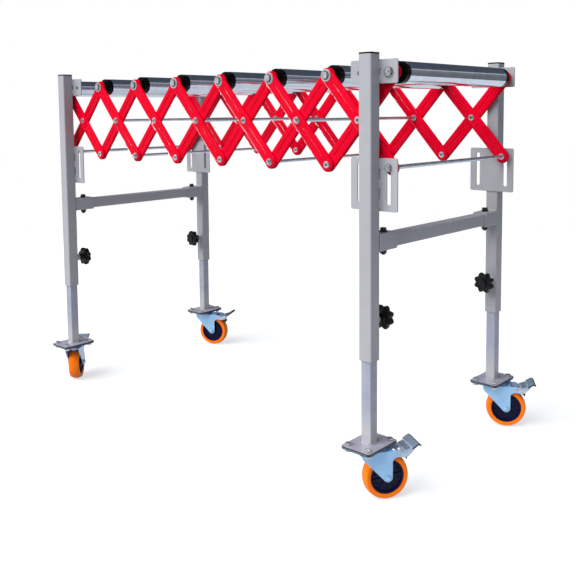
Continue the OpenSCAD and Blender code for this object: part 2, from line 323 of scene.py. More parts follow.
def holed(loops, z0, z1, b=0.4, res=2):
    """A flat sheet with holes: the first loop is its outline. Its edges are rounded by b."""
    cu = bpy.data.curves.new("tmp", "CURVE")
    cu.dimensions = "2D"
    cu.fill_mode = "BOTH"
    for loop in loops:
        sp = cu.splines.new("POLY")
        sp.points.add(len(loop) - 1)
        for p, (x, y) in zip(sp.points, loop):
            p.co = (x, y, 0, 1)
        sp.use_cyclic_u = True
    cu.extrude = (z1 - z0) / 2 - b
    cu.bevel_depth = b
    cu.bevel_resolution = res
    cu.offset = -b
    ob = bpy.data.objects.new("tmp", cu)
    bpy.context.scene.collection.objects.link(ob)
    bpy.context.view_layer.update()
    me = ob.to_mesh()
    zc = (z0 + z1) / 2
    verts = [(v.co.x, v.co.y, v.co.z + zc) for v in me.vertices]
    faces = [tuple(p.vertices) for p in me.polygons]
    ob.to_mesh_clear()
    bpy.data.objects.remove(ob)
    bpy.data.curves.remove(cu)
    return verts, faces


def tube_rr(w, h, r, wall, z0, z1, seg=5, ch=0.3):
    """A rectangular tube with rounded corners, open at both ends."""
    out = rrect(w, h, r, seg)
    inn = rrect(w - 2 * wall, h - 2 * wall, max(0.3, r - wall), seg)
    n, verts, faces = len(out), [], []
    lv = [(inset(out, ch), z0), (out, z0 + ch), (out, z1 - ch), (inset(out, ch), z1), (inn, z1), (inn, z0)]
    rings = []
    for loop, z in lv:
        ids = []
        for x, y in loop:
            ids.append(len(verts))
            verts.append((x, y, z))
        rings.append(ids)
    for a, c in zip(rings, rings[1:] + rings[:1]):
        for i in range(n):
            j = (i + 1) % n
            faces.append((a[i], a[j], c[j], c[i]))
    return verts, faces


def bead(p, q, r, n1, n2, waves=None):
    """A weld bead in an inside corner from p to q: n1 and n2 point out of the two faces. Its surface is rippled."""
    p, q, n1, n2 = Vector(p), Vector(q), Vector(n1).normalized(), Vector(n2).normalized()
    length = (q - p).length
    steps = max(4, int(length / 1.3))
    verts, faces, rows = [], [], []
    for i in range(steps + 1):
        t = i / steps
        c = p.lerp(q, t)
        end = min(1.0, min(t, 1 - t) * length / (r * 0.9) + 0.15)
        rr = r * (0.92 + 0.10 * math.sin(i * 2.1) + 0.04 * math.sin(i * 0.7)) * math.sqrt(end)
        row = []
        for k in range(6):
            a = math.pi / 2 * k / 5
            bulge = 0.80 + 0.20 * abs(math.cos(2 * a))
            d = n1 * math.cos(a) + n2 * math.sin(a)
            row.append(len(verts))
            verts.append(tuple(c + d * rr * bulge))
        row.append(len(verts))
        verts.append(tuple(c - (n1 + n2) * 0.4))
        rows.append(row)
    for a, b in zip(rows, rows[1:]):
        for k in range(7):
            j = (k + 1) % 7
            faces.append((a[k], b[k], b[j], a[j]))
    faces.append(tuple(rows[0]))
    faces.append(tuple(reversed(rows[-1])))
    return verts, faces


def ribbon(path, y0, y1, t, r=0.5):
    """A bent sheet: path is a line in XZ, drawn out from y0 to y1, t thick, to the left of the path's direction."""
    n = len(path)
    left = []
    for i in range(n):
        a = Vector(path[max(0, i - 1)])
        b = Vector(path[min(n - 1, i + 1)])
        d = (b - a).normalized()
        left.append(Vector((-d.y, d.x)))
    ys = [(y0, r), (y0 + r, 0.0), (y1 - r, 0.0), (y1, r)]
    verts, rows, faces = [], [], []
    for y, ins in ys:
        row = []
        for i in range(n):
            p = Vector(path[i]) + left[i] * ins * 0.6
            row.append(len(verts))
            verts.append((p.x, y, p.y))
        for i in range(n - 1, -1, -1):
            p = Vector(path[i]) + left[i] * (t - ins * 0.6)
            row.append(len(verts))
            verts.append((p.x, y, p.y))
        rows.append(row)
    m = 2 * n
    for a, b in zip(rows, rows[1:]):
        for i in range(m):
            j = (i + 1) % m
            faces.append((a[i], a[j], b[j], b[i]))
    for row, rev in ((rows[0], True), (rows[-1], False)):
        for i in range(n - 1):
            q = (row[i], row[i + 1], row[m - 2 - i], row[m - 1 - i])
            faces.append(tuple(reversed(q)) if rev else q)
    return verts, faces


def arc(cx, cy, r, a0, a1, n=6):
    return [(cx + r * math.cos(math.radians(a0 + (a1 - a0) * i / n)), cy + r * math.sin(math.radians(a0 + (a1 - a0) * i / n))) for i in range(n + 1)]


# swaps local Y and Z: an outline drawn in XZ, drawn out along Y
UP = Matrix(((1, 0, 0, 0), (0, 0, 1, 0), (0, 1, 0, 0), (0, 0, 0, 1)))
FLIP_Y = Matrix.Scale(-1, 4, (0, 1, 0))


def fillet(poly, r, seg=4):
    """Rounds the corners of an outline. r is one number or one for each corner."""
    out, n = [], len(poly)
    for i in range(n):
        p0, p1, p2 = Vector(poly[i - 1]), Vector(poly[i]), Vector(poly[(i + 1) % n])
        rr = r[i] if isinstance(r, (list, tuple)) else r
        a, b = (p0 - p1), (p2 - p1)
        la, lb = a.length, b.length
        a.normalize()
        b.normalize()
        dot = max(-1.0, min(1.0, a.dot(b)))
        ang = math.acos(dot)
        if rr <= 0 or ang > math.pi - 0.05:
            out.append(tuple(p1))
            continue
        d = min(rr / math.tan(ang / 2), la * 0.48, lb * 0.48)
        q0, q1 = p1 + a * d, p1 + b * d
        for k in range(seg + 1):
            t = k / seg
            q = q0 * (1 - t) ** 2 + p1 * 2 * t * (1 - t) + q1 * t ** 2
            out.append((q.x, q.y))
    return out


# ------------------------------------------------------------------ materials
class Mat:
    """A node material with object coordinates, shifted for each object so that copies differ."""

    def __init__(self, name, rough=0.4, metal=0.0, scale=1.0):
        self.m = bpy.data.materials.new(name)
        self.m.use_nodes = True
        self.t = self.m.node_tree
        self.b = self.t.nodes["Principled BSDF"]
        self.b.inputs["Metallic"].default_value = metal
        self.b.inputs["Roughness"].default_value = rough
        tc = self.t.nodes.new("ShaderNodeTexCoord")
        inf = self.t.nodes.new("ShaderNodeObjectInfo")
        mul = self.t.nodes.new("ShaderNodeMath")
        mul.operation = "MULTIPLY"
        mul.inputs[1].default_value = 7.3
        self.t.links.new(inf.outputs["Random"], mul.inputs[0])
        add = self.t.nodes.new("ShaderNodeVectorMath")
        add.operation = "ADD"
        self.t.links.new(tc.outputs["Object"], add.inputs[0])
        self.t.links.new(mul.outputs[0], add.inputs[1])
        self.co = add.outputs[0]
        self.bump_out = None

    def noise(self, scale, detail=3.0, rough=0.55, stretch=None, distort=0.0):
        src = self.co
        if stretch:
            mp = self.t.nodes.new("ShaderNodeMapping")
            mp.inputs["Scale"].default_value = stretch
            self.t.links.new(src, mp.inputs["Vector"])
            src = mp.outputs[0]
        n = self.t.nodes.new("ShaderNodeTexNoise")
        n.inputs["Scale"].default_value = scale
        n.inputs["Detail"].default_value = detail
        n.inputs["Roughness"].default_value = rough
        n.inputs["Distortion"].default_value = distort
        self.t.links.new(src, n.inputs["Vector"])
        return n.outputs["Fac"]

    def ramp(self, fac, stops):
        r = self.t.nodes.new("ShaderNodeValToRGB")
        el = r.color_ramp.elements
        while len(el) < len(stops):
            el.new(0.5)
        for e, (p, c) in zip(el, stops):
            e.position = p
            e.color = (c[0], c[1], c[2], 1) if isinstance(c, (tuple, list)) else (c, c, c, 1)
        self.t.links.new(fac, r.inputs["Fac"])
        return r.outputs["Color"]

    def mix(self, fac, a, b, mode="MIX"):
        n = self.t.nodes.new("ShaderNodeMix")
        n.data_type = "RGBA"
        n.blend_type = mode
        for v, k in ((fac, 0), (a, 6), (b, 7)):
            if isinstance(v, (int, float)):
                n.inputs[k].default_value = v if k == 0 else (v, v, v, 1)
            elif isinstance(v, (tuple, list)):
                n.inputs[k].default_value = (v[0], v[1], v[2], 1)
            else:
                self.t.links.new(v, n.inputs[k])
        return n.outputs[2]

    def color(self, out):
        self.t.links.new(out, self.b.inputs["Base Color"])
        return self

    def rough(self, fac, lo, hi):
        n = self.t.nodes.new("ShaderNodeMapRange")
        n.inputs["From Min"].default_value = 0.3
        n.inputs["From Max"].default_value = 0.7
        n.inputs["To Min"].default_value = lo
        n.inputs["To Max"].default_value = hi
        self.t.links.new(fac, n.inputs["Value"])
        self.t.links.new(n.outputs[0], self.b.inputs["Roughness"])
        return self

    def bump(self, fac, strength, dist):
        n = self.t.nodes.new("ShaderNodeBump")
        n.inputs["Strength"].default_value = strength
        n.inputs["Distance"].default_value = dist
        self.t.links.new(fac, n.inputs["Height"])
        if self.bump_out is not None:
            self.t.links.new(self.bump_out, n.inputs["Normal"])
        self.bump_out = n.outputs[0]
        self.t.links.new(self.bump_out, self.b.inputs["Normal"])
        return self

    def set(self, **kw):
        for k, v in kw.items():
            self.b.inputs[k.replace("_", " ")].default_value = v
        return self


def grey_paint_mat():
    m = Mat("grey_paint", 0.38, 0.10)
    big, fine, dust = m.noise(6, 4), m.noise(900, 2), m.noise(45, 5, 0.65)
    c = m.mix(m.ramp(big, [(0.3, 0.0), (0.7, 1.0)]), (0.325, 0.325, 0.345), (0.362, 0.362, 0.383))
    c = m.mix(m.ramp(dust, [(0.52, 0.0), (0.8, 0.35)]), c, (0.29, 0.288, 0.30))
    c = m.mix(m.ramp(fine, [(0.45, 0.0), (0.75, 0.25)]), c, (0.43, 0.43, 0.45))
    m.color(c).rough(dust, 0.30, 0.44).bump(m.noise(420, 2), 0.10, 0.0004).bump(fine, 0.05, 0.0002)
    return m.set(Coat_Weight=0.25, Coat_Roughness=0.18).m


def red_mat():
    m = Mat("red_enamel", 0.22, 0.0)
    big, dust = m.noise(5, 3), m.noise(60, 5, 0.6)
    c = m.mix(m.ramp(big, [(0.3, 0.0), (0.7, 1.0)]), (0.575, 0.0, 0.014), (0.635, 0.0004, 0.018))
    c = m.mix(m.ramp(dust, [(0.55, 0.0), (0.85, 0.30)]), c, (0.525, 0.0008, 0.018))
    m.color(c).rough(dust, 0.22, 0.34).bump(m.noise(170, 2), 0.012, 0.0003).bump(m.noise(18, 2), 0.012, 0.0008)
    return m.set(Coat_Weight=0.15, Coat_Roughness=0.13, Coat_IOR=1.5, Specular_IOR_Level=0.0).m


def zinc_mat(name, tint, dark, r0, r1, stretch=None, streak=0.4, bump=0.10, metal=1.0, clean=0.25):
    """Zinc plate: cloudy crystals, fine streaks along the part, a few dull spots."""
    m = Mat(name, r0, metal)
    cloud = m.noise(38, 4, 0.6)
    spots = m.noise(160, 3, 0.7)
    lines = m.noise(70, 4, 0.6, stretch) if stretch else m.noise(240, 3)
    c = m.mix(m.ramp(cloud, [(0.32, 0.0), (0.68, 1.0)]), dark, tint)
    c = m.mix(m.ramp(lines, [(0.35, 0.0), (0.72, streak)]), c, tuple(min(1, v * 1.18) for v in tint))
    c = m.mix(m.ramp(spots, [(0.62, 0.0), (0.85, clean)]), c, tuple(v * 0.62 for v in dark))
    m.color(c).rough(m.mix(0.5, cloud, lines), r0, r1).bump(lines, bump, 0.0004)
    return m


def fork_mat(name, tint, dark, rough):
    """Blue bright zinc on pressed sheet: large soft clouds and fine drawing lines."""
    m = Mat(name, 0.28, 0.45)
    cloud, lines = m.noise(14, 3), m.noise(60, 2, 0.5, (1, 1, 0.08))
    c = m.mix(m.ramp(cloud, [(0.35, 0.0), (0.65, 1.0)]), dark, tint)
    c = m.mix(m.ramp(lines, [(0.45, 0.0), (0.70, 0.18)]), c, tuple(min(1, v * 1.12) for v in tint))
    m.color(c).rough(cloud, *rough)
    return m.m


def leg_mat():
    """Bright zinc on the inner tubes: streaks along the tube, warmer and lighter over the lowest 8 centimetres, down to
    the foot.
    """
    m = zinc_mat("leg_steel", (0.345, 0.36, 0.43), (0.265, 0.28, 0.35), 0.24, 0.38, (1, 1, 0.03), 0.35, 0.08, 0.28)
    old = m.b.inputs["Base Color"].links[0].from_socket
    tc = m.t.nodes.new("ShaderNodeTexCoord")
    sp = m.t.nodes.new("ShaderNodeSeparateXYZ")
    m.t.links.new(tc.outputs["Object"], sp.inputs[0])
    mr = m.t.nodes.new("ShaderNodeMapRange")
    mr.inputs["From Min"].default_value = 0.21
    mr.inputs["From Max"].default_value = 0.135
    mr.inputs["To Min"].default_value = 0.0
    mr.inputs["To Max"].default_value = 0.8
    m.t.links.new(sp.outputs["Z"], mr.inputs["Value"])
    m.color(m.mix(mr.outputs[0], old, (0.50, 0.49, 0.48)))
    return m.m


def black_mat(name="black_plastic", base=0.012, rough=(0.32, 0.48), grain=900, gloss=0.5):
    m = Mat(name, 0.4, 0.0)
    fine, big = m.noise(grain, 2), m.noise(20, 4)
    c = m.mix(m.ramp(big, [(0.3, 0.0), (0.7, 1.0)]), (base, base, base * 1.1), (base * 2.0, base * 2.0, base * 2.2))
    m.color(c).rough(big, *rough).bump(fine, 0.25, 0.0002)
    return m.set(Specular_IOR_Level=gloss).m


def orange_mat():
    m = Mat("orange_tread", 0.32, 0.0)
    big, fine, scuff = m.noise(9, 4), m.noise(700, 2), m.noise(90, 5, 0.7)
    c = m.mix(m.ramp(big, [(0.3, 0.0), (0.7, 1.0)]), (1.0, 0.165, 0.001), (1.0, 0.215, 0.003))
    c = m.mix(m.ramp(scuff, [(0.58, 0.0), (0.85, 0.30)]), c, (0.80, 0.15, 0.008))
    m.color(c).rough(scuff, 0.28, 0.46).bump(fine, 0.08, 0.0002).bump(scuff, 0.06, 0.0004)
    return m.set(Subsurface_Weight=0.10, Subsurface_Radius=(0.006, 0.002, 0.001), Subsurface_Scale=1.0, Specular_IOR_Level=0.20).m


def navy_mat():
    m = Mat("navy_plastic", 0.16, 0.0)
    big, fine = m.noise(16, 3), m.noise(500, 2)
    c = m.mix(m.ramp(big, [(0.3, 0.0), (0.7, 1.0)]), (0.0018, 0.0018, 0.020), (0.0035, 0.0040, 0.038))
    m.color(c).rough(big, 0.14, 0.28).bump(m.noise(60, 2), 0.10, 0.0008).bump(fine, 0.05, 0.0002)
    return m.set(Coat_Weight=0.06, Coat_Roughness=0.06, Specular_IOR_Level=0.16).m


GREY = grey_paint_mat()
RED = red_mat()
ROD = zinc_mat("rod_zinc", (0.66, 0.72, 0.82), (0.48, 0.54, 0.64), 0.14, 0.26, (1, 0.06, 1), 0.4, 0.08, 0.95).m
ROLLER = zinc_mat("roller_steel", (0.70, 0.77, 0.87), (0.58, 0.65, 0.76), 0.07, 0.14, (1, 0.03, 1), 0.25, 0.03).m
LEG = leg_mat()
PLATE = zinc_mat("base_plate_zinc", (0.46, 0.445, 0.52), (0.34, 0.33, 0.39), 0.26, 0.44, (1, 0.08, 1), 0.35, 0.10, 0.35).m
FORK = fork_mat("fork_zinc", (0.40, 0.66, 0.92), (0.29, 0.52, 0.82), (0.22, 0.32))
# the swivel race's rings in a darker teal than the fork: painted shade for the shadow under the base plate
RACE_PAINTED_SHADE = fork_mat("race_zinc_painted_shade", (0.17, 0.29, 0.38), (0.09, 0.17, 0.24), (0.20, 0.34))
PEDAL = zinc_mat("pedal_zinc", (0.50, 0.60, 0.72), (0.43, 0.53, 0.65), 0.22, 0.30, None, 0.05, 0.02, 0.5, 0.05).m
TREADPAD = zinc_mat("lever_end_zinc", (0.24, 0.31, 0.40), (0.17, 0.23, 0.31), 0.24, 0.40, None, 0.15, 0.05, 0.4, 0.10).m
NUT = zinc_mat("nut_zinc", (0.70, 0.71, 0.73), (0.44, 0.45, 0.48), 0.13, 0.24, None, 0.3, 0.04, 0.86, 0.15).m
# dark zinc for the thin ring round each nut's hexagon: painted shade for the dark that the flange's hollow shows
NUT_SHADE_RING = zinc_mat("nut_painted_shade_ring", (0.16, 0.16, 0.18), (0.09, 0.09, 0.10), 0.25, 0.40, None, 0.3, 0.04, 0.5, 0.15).m
BLACK = black_mat()
EDGE = black_mat("plate_edge", 0.016, (0.40, 0.60), 500)
BOLT = black_mat("black_oxide", 0.010, (0.28, 0.45), 400)
KNOB = black_mat("knob_plastic", 0.0035, (0.20, 0.34), 1200, 0.26)
POSTCAP = black_mat("post_cap_plastic", 0.002, (0.45, 0.60), 1000, 0.3)
POSTCAP.node_tree.nodes["Principled BSDF"].inputs["Specular IOR Level"].default_value = 0.15
CAP = black_mat("cap_plastic", 0.001, (0.14, 0.24), 1000, 0.12)
GRIP = black_mat("lever_grip", 0.014, (0.30, 0.50), 700)
ORANGE = orange_mat()
NAVY = navy_mat()
PAD = black_mat("brake_rubber", 0.012, (0.5, 0.7), 600)


# ------------------------------------------------------------------ end frames
def post_matrix(s, back):
    """Local frame of a post: the floor point under it at the origin, +Y to the middle of the table."""
    return T(s * POST_X, POST_Y, 0) @ FLIP_Y if back else T(s * POST_X, -POST_Y, 0)


def build_frame(s, side):
    body = "frame_" + side
    g = Geo()
    H = POST_W / 2
    for back in (False, True):
        M = post_matrix(s, back)
        g.add(tube_rr(POST_W, POST_W, 3.2, WALL, POST_LOW, POST_TOP, 6, 0.35), M)
        # hanger plates
        up_holes = [circle_pts(5.05, 28, d, ZT) for d in (-OFF, OFF)]
        g.add(holed([rrect(PLATE_W, 50, 4.0, 6, 0, 920)] + up_holes, H, H + PLATE_T, 0.45), M @ UP)
        slots = [slot_pts(10, 86, d, 685) for d in (-OFF, OFF)]
        g.add(holed([rrect(PLATE_W, 112, 4.0, 6, 0, 684)] + slots, H, H + PLATE_T, 0.45), M @ UP)
        # weld stitches between the post's sides and the plates, short ones with a gap
        for x in (-H, H):
            n1 = (1 if x > 0 else -1, 0, 0)
            for z0, z1 in ((898, 914), (926, 942), (632, 654), (674, 696), (716, 738)):
                g.add(bead((x, H, z0), (x, H, z1), 3.0, n1, (0, -1, 0)), M)
        # knob boss with its weld ring
        g.add(lathe([(5.2, 0.0), (5.2, 11.4), (5.9, 12), (9.2, 12), (10, 11.2), (10, -0.6), (5.2, -0.6)], 40), M @ T(0, H, KNOB_Z) @ TO_BACK)
        g.add(lathe([(9.8, 0), (12.4, 0), (12.0, 1.2), (11.0, 2.2), (9.8, 2.6)], 40), M @ T(0, H, KNOB_Z) @ TO_BACK)
        # crossbar socket: a short tube with the bolt's holes hidden under the washers
        g.add(tube_rr(37, 37, 3.0, 2.9, H, H + 62, 6, 0.5), M @ T(0, 0, BAR_Z) @ Matrix(((1, 0, 0, 0), (0, 0, 1, 0), (0, 1, 0, 0), (0, 0, 0, 1))))
        for z in (-18.5, 18.5):
            g.add(bead((-14.5, H, BAR_Z + z), (14.5, H, BAR_Z + z), 3.2, (0, 0, 1 if z > 0 else -1), (0, 1, 0)), M)
    g.obj("posts_%s_painted" % side, GREY, body, "posts_" + side, "grey_paint", weld=0.002)

    g = Geo()
    g.add(tube_rr(30, 30, 3.0, 2.0, -(FACE - 0.6), FACE - 0.6, 6, 0.4), T(s * POST_X, 0, BAR_Z) @ Matrix(((1, 0, 0, 0), (0, 0, 1, 0), (0, 1, 0, 0), (0, 0, 0, 1))))
    g.obj("crossbar_%s_tube" % side, GREY, body, "crossbar_" + side, "grey_paint_bar", weld=0.002)

    # black caps: a flange with a low crown, and a skirt inside the tube
    g = Geo()
    for back in (False, True):
        M = post_matrix(s, back) @ T(0, 0, POST_TOP)
        g.add(prism(rrect(32.5, 32.5, 3.4, 6), 0.05, 3.3, 0.7, 4), M)
        g.add(tube_rr(28.4, 28.4, 2.0, 1.9, -12, 0.3, 4, 0.3), M)
    g.obj("post_caps_" + side, POSTCAP, body, "fittings_" + side, "black_knob")

    # bolts through sockets and bar
    gb = Geo()
    for y in (-BOLT_Y, BOLT_Y):
        M = T(s * POST_X, y, BAR_Z)
        gb.add(rod(4, -31, 24, 0.6, 24), M)
        gb.add(hexpiece(13, 22.6, 28.0, dish=0.5, low_cut=False), M @ R(12, "Z"))
        gb.add(hexpiece(13, -28.6, -22.6, bore=3.9), M @ R(41, "Z"))
        for z in (18.55, -22.55):
            gb.add(lathe([(4.1, z + 0.3), (4.4, z), (8.2, z), (8.6, z + 0.5), (8.6, z + 3.4), (7.6, z + 4.0), (4.4, z + 4.0), (4.1, z + 3.7)], 40, closed=True), M)
    gb.obj("socket_bolts_" + side, BOLT, body, "fittings_" + side, "zinc_fittings")


# ------------------------------------------------------------------ pins, rods and axles
def flange_head(g, M, r=14.0, af=13.5, z0=0.3, t=1.7, h=4.1, n0=None):
    """Flange washer and hexagon head. z grows outwards from the link's face."""
    g.add(lathe([(4.9, z0), (r - 1.0, z0), (r - 0.25, z0 + 0.3), (r, z0 + 0.8), (r - 0.3, z0 + 1.25), (r - 1.2, z0 + t * 0.92), (r * 0.72, z0 + t), (4.9, z0 + t)], 56), M)
    g.add(hexpiece(af, z0 + t - 0.1, z0 + t + h - 0.1, dish=0.35, low_cut=False), M)
    # thin dark ring on the washer round the hexagon: painted shade
    g.add(ring(af * 0.5, r * 0.74, z0 + t - 0.6, z0 + t + 0.06, 0.05, 52), M, 2)


def plate_nut(g, M, r, af, h, t=1.6, z0=0.3, tip=1.2, rod_r=5.0):
    """Plain washer, nut and the rod's end in it."""
    g.add(ring(rod_r - 0.1, r, z0, z0 + t, 0.3, 52), M)
    g.add(hexpiece(af, z0 + t - 0.05, z0 + t + h, bore=rod_r - 0.15), M)
    g.add(threaded(rod_r - 0.1, z0, z0 + t + h + tip, 1.0, 28, 0.8), M)
    # thin dark ring on the washer round the hexagon: painted shade
    g.add(ring(af * 0.5, af * 0.58 + (r - af * 0.58) * 0.35, z0 + t - 0.6, z0 + t + 0.06, 0.05, 52), M, 2)


def spacer(g, x, z, y0, y1, r=8.0, bore=4.9):
    g.add(ring(bore, r, min(y0, y1), max(y0, y1), 0.4, 36), T(x, 0, z) @ Matrix(((1, 0, 0, 0), (0, 0, 1, 0), (0, 1, 0, 0), (0, 0, 0, 1))))


def along_y(part, g, x, z, mat=0):
    g.add(part, T(x, 0, z) @ Matrix(((1, 0, 0, 0), (0, 0, 1, 0), (0, 1, 0, 0), (0, 0, 0, 1))), mat)


def tubular_rivet(g, x, z, shift, turn=0.0):
    """Rolled head with a deep round hollow in front, a flared tail behind."""
    a, b = A0 + shift, B0 + 2 + shift
    prof = [(2.9, -(a - 0.3) - 5.0), (2.95, -(a - 2.2) - 1.2), (3.3, -(a - 2.2) - 0.35), (4.0, -(a - 2.2)), (5.6, -(a - 2.2) - 0.05), (7.1, -(a - 2.2) - 0.5),
            (7.9, -(a - 2.2) - 1.1), (8.0, -(a - 0.3) + 0.15), (7.6, -(a - 0.3)), (5.0, -(a - 0.3)), (5.0, -(b + 0.3)), (7.0, -(b + 0.3)), (7.5, -(b + 0.8)),
            (7.2, -(b + 2.0)), (6.0, -(b + 2.6)), (4.4, -(b + 2.6)), (3.4, -(b + 2.2)), (2.9, -(b + 1.2)), (2.9, -(b - 2.0))]
    pts = [(0, prof[0][1])] + prof + [(0, prof[-1][1])]
    g.add(lathe(pts, 40), T(x, 0, z) @ TO_FRONT @ R(turn, "Z"))


def cross_rod(g, x, z):
    along_y(rod(4, FI + 2, BI - 2, 0.4, 28), g, x, z, 1)
    for sgn, face in ((-1, FO), (1, BO)):
        M = T(x, face, z) @ (TO_FRONT if sgn < 0 else TO_BACK)
        g.add(ring(4.9, 8.6, 0.3, 1.8, 0.35, 44), M)
        g.add(hexpiece(12.5, 1.75, 6.3, bore=4.85), M)
        g.add(threaded(4.95, -8.5, 9.5, 1.25, 30, 1.0), M)
    for y0, y1 in ((FI + 0.3, FI + 3.3), (BI - 3.3, BI - 0.3)):
        spacer(g, x, z, y0, y1, 8.0)


def build_axle(name, body, node, x, z, s0, s1, n0, n1, end):
    """An axle with its roller spacers; end axles go on through the hanger plates."""
    g = Geo()
    if end:
        along_y(rod(5, -FACE - 5, FACE + 5, 0.5, 32), g, x, z, 1)
        for sgn in (-1, 1):
            M = T(x, sgn * FACE, z) @ (TO_FRONT if sgn < 0 else TO_BACK)
            plate_nut(g, M, 12.0, 17.0, 4.9, 1.5, 0.3, 1.2, 5.0)
        spacer(g, x, z, -INY + 0.3, s0)
        spacer(g, x, z, n0, -CAP_Y)
        spacer(g, x, z, s1, INY - 0.3)
        spacer(g, x, z, CAP_Y, n1)
    else:
        along_y(rod(5, FO - 1, BO + 1, 0.5, 32), g, x, z, 1)
        flange_head(g, T(x, FO, z) @ TO_FRONT)
        flange_head(g, T(x, BO, z) @ TO_BACK, 13.5)
        spacer(g, x, z, FI + 0.3, -CAP_Y)
        spacer(g, x, z, CAP_Y, BI - 0.3)
    g.obj(name, [NUT, ROD, NUT_SHADE_RING], body, node, "zinc_pins")


def build_slot_rod(name, body, node, x, z, s0, s1, n0, n1):
    g = Geo()
    along_y(rod(4.7, -FACE - 4, FACE + 4, 0.5, 30), g, x, z, 1)
    for sgn in (-1, 1):
        M = T(x, sgn * FACE, z) @ (TO_FRONT if sgn < 0 else TO_BACK)
        plate_nut(g, M, 9.0, 13.8, 4.2, 2.0, 0.3, 0.5, 4.7)
    for y0, y1 in ((-INY + 0.3, s0), (n0, n0 + 4), (s1, INY - 0.3), (n1 - 4, n1)):
        spacer(g, x, z, y0, y1, 8.0, 4.6)
    g.obj(name, [NUT, ROD, NUT_SHADE_RING], body, node, "zinc_pins")


def build_pins(k):
    body, node = "up_%d" % k, "pins_%d" % k
    if k < 7:
        build_axle("axle_%d" % k, body, node, xt(k), ZT, 0, 0, 0, 0, False)
    else:
        build_axle("axle_7", body, node, xt(7), ZT, B0 - 0.3, BO + 0.3, FI + 0.3, B0 + SHIFT - 0.3, True)
    g = Geo()
    if k % 2 == 0:
        cross_rod(g, xm(k), ZM)
    else:
        for sh in (0, SHIFT):
            tubular_rivet(g, xm(k), ZM, sh)
    g.obj(("cross_rod_m%d" if k % 2 == 0 else "rivets_m%d") % k, [NUT, ROD], body, node, "zinc_pins")
    if k == 1:
        build_slot_rod("slot_rod_0", body, node, xt(0), ZL, B0 - 0.3, BO + 0.3, FI + 0.3, B0 + SHIFT - 0.3)
        return
    g = Geo()
    if k in (3, 6):
        cross_rod(g, xt(k - 1), ZL)
    else:
        for sh in (0, SHIFT):
            tubular_rivet(g, xt(k - 1), ZL, sh)
    g.obj(("cross_rod_b%d" if k in (3, 6) else "rivets_b%d") % (k - 1), [NUT, ROD], body, node, "zinc_pins")


# ------------------------------------------------------------------ scissor links
def capsule_ring(u, w, d, seg=14):
    """Counter-clockwise capsule outline in XY, inset by d."""
    r = w / 2 - d
    pts = [(u + r * math.cos(math.radians(-90 + 180 * i / seg)), r * math.sin(math.radians(-90 + 180 * i / seg))) for i in range(seg + 1)]
    pts += [(-u + r * math.cos(math.radians(90 + 180 * i / seg)), r * math.sin(math.radians(90 + 180 * i / seg))) for i in range(seg + 1)]
    return pts


def link_mesh():
    """One pressed link: flat web with a groove on each side of the middle pin, its edges turned back over a round corner.
    Local X is the link's length, Y its width, Z is 0 at the visible face and grows inwards."""
    from mathutils.geometry import tessellate_polygon
    verts, faces = [], []

    def put(loop, z):
        o = len(verts)
        verts.extend((x, y, z) for x, y in loop)
        return list(range(o, o + len(loop)))

    def wall(a, b):
        n = len(a)
        for i in range(n):
            j = (i + 1) % n
            faces.append((a[i], a[j], b[j], b[i]))

    def cap(loops):
        ids = [i for lp in loops for i in lp]
        for tri in tessellate_polygon([[Vector(verts[i]) for i in lp] for lp in loops]):
            faces.append(tuple(ids[t] for t in tri))

    rc, sh = 4.4, 2.0
    outer = []
    for k in range(7):
        a = math.pi / 2 * k / 6
        outer.append((rc * (1 - math.cos(a)), rc * (1 - math.sin(a))))
    rings = [put(capsule_ring(ARM, LINK_W, 0.35), 6.0), put(capsule_ring(ARM, LINK_W, 0.0), 5.6)]
    rings += [put(capsule_ring(ARM, LINK_W, d), z) for d, z in outer]
    rings.append(put(capsule_ring(ARM, LINK_W, rc + 0.35), 0.0))
    front = rings[-1]
    # inner side of the turned edge, from the rim to the web's back
    inner = [(sh - 0.35, 6.0), (sh, 5.6), (sh, rc)]
    for k in range(1, 5):
        a = math.pi / 2 * k / 4
        inner.append((sh + (rc - sh) * (1 - math.cos(a)), rc - (rc - sh) * math.sin(a)))
    back = [put(capsule_ring(ARM, LINK_W, d), z) for d, z in inner]
    back.append(put(capsule_ring(ARM, LINK_W, rc + 0.35), sh))
    wall(rings[0], back[0])
    for a, b in zip(rings, rings[1:]):
        wall(a, b)
    for a, b in zip(back, back[1:]):
        wall(a, b)
    holes_f, holes_b = [front], [back[-1]]
    for u in (-ARM, 0, ARM):
        f2 = put(circle_pts(5.75, 28, u), 0.0)
        f1 = put(circle_pts(5.45, 28, u), 0.0)
        f0 = put(circle_pts(5.05, 28, u), 0.4)
        b0 = put(circle_pts(5.05, 28, u), sh - 0.3)
        b1 = put(circle_pts(5.35, 28, u), sh)
        b2 = put(circle_pts(5.65, 28, u), sh)
        for p, q in ((f2, f1), (f1, f0), (f0, b0), (b0, b1), (b1, b2)):
            wall(p, q)
        holes_f.append(f2)
        holes_b.append(b2)
    gl = ARM / 2 - 27

    def groove(c, w, grow=0.0):
        return [(x + c, y) for x, y in capsule_ring(gl, w, -grow, 8)]

    for c in (-ARM / 2, ARM / 2):
        lv = [(6.8, 0.3, 0.0), (6.8, 0.0, 0.0), (6.0, 0.0, 0.10), (5.0, 0.0, 0.40), (3.2, 0.0, 1.25), (2.2, 0.0, 1.60), (1.2, 0.0, 1.70)]
        rr = [put(groove(c, w, gr), z) for w, gr, z in lv]
        for p, q in zip(rr, rr[1:]):
            wall(p, q)
        cap([rr[-1]])
        holes_f.append(rr[0])
        lb = [(9.4, 0.3, sh), (9.4, 0.0, sh), (8.4, 0.0, sh + 0.2), (6.0, 0.0, sh + 1.25), (4.2, 0.0, sh + 1.70)]
        rb = [put(groove(c, w, gr), z) for w, gr, z in lb]
        for p, q in zip(rb, rb[1:]):
            wall(p, q)
        cap([rb[-1]])
        holes_b.append(rb[0])
    cap(holes_f)
    cap(holes_b)
    g = Geo()
    g.v, g.f, g.m = verts, faces, [0] * len(faces)
    return g


LINK = link_mesh()
link_data = None


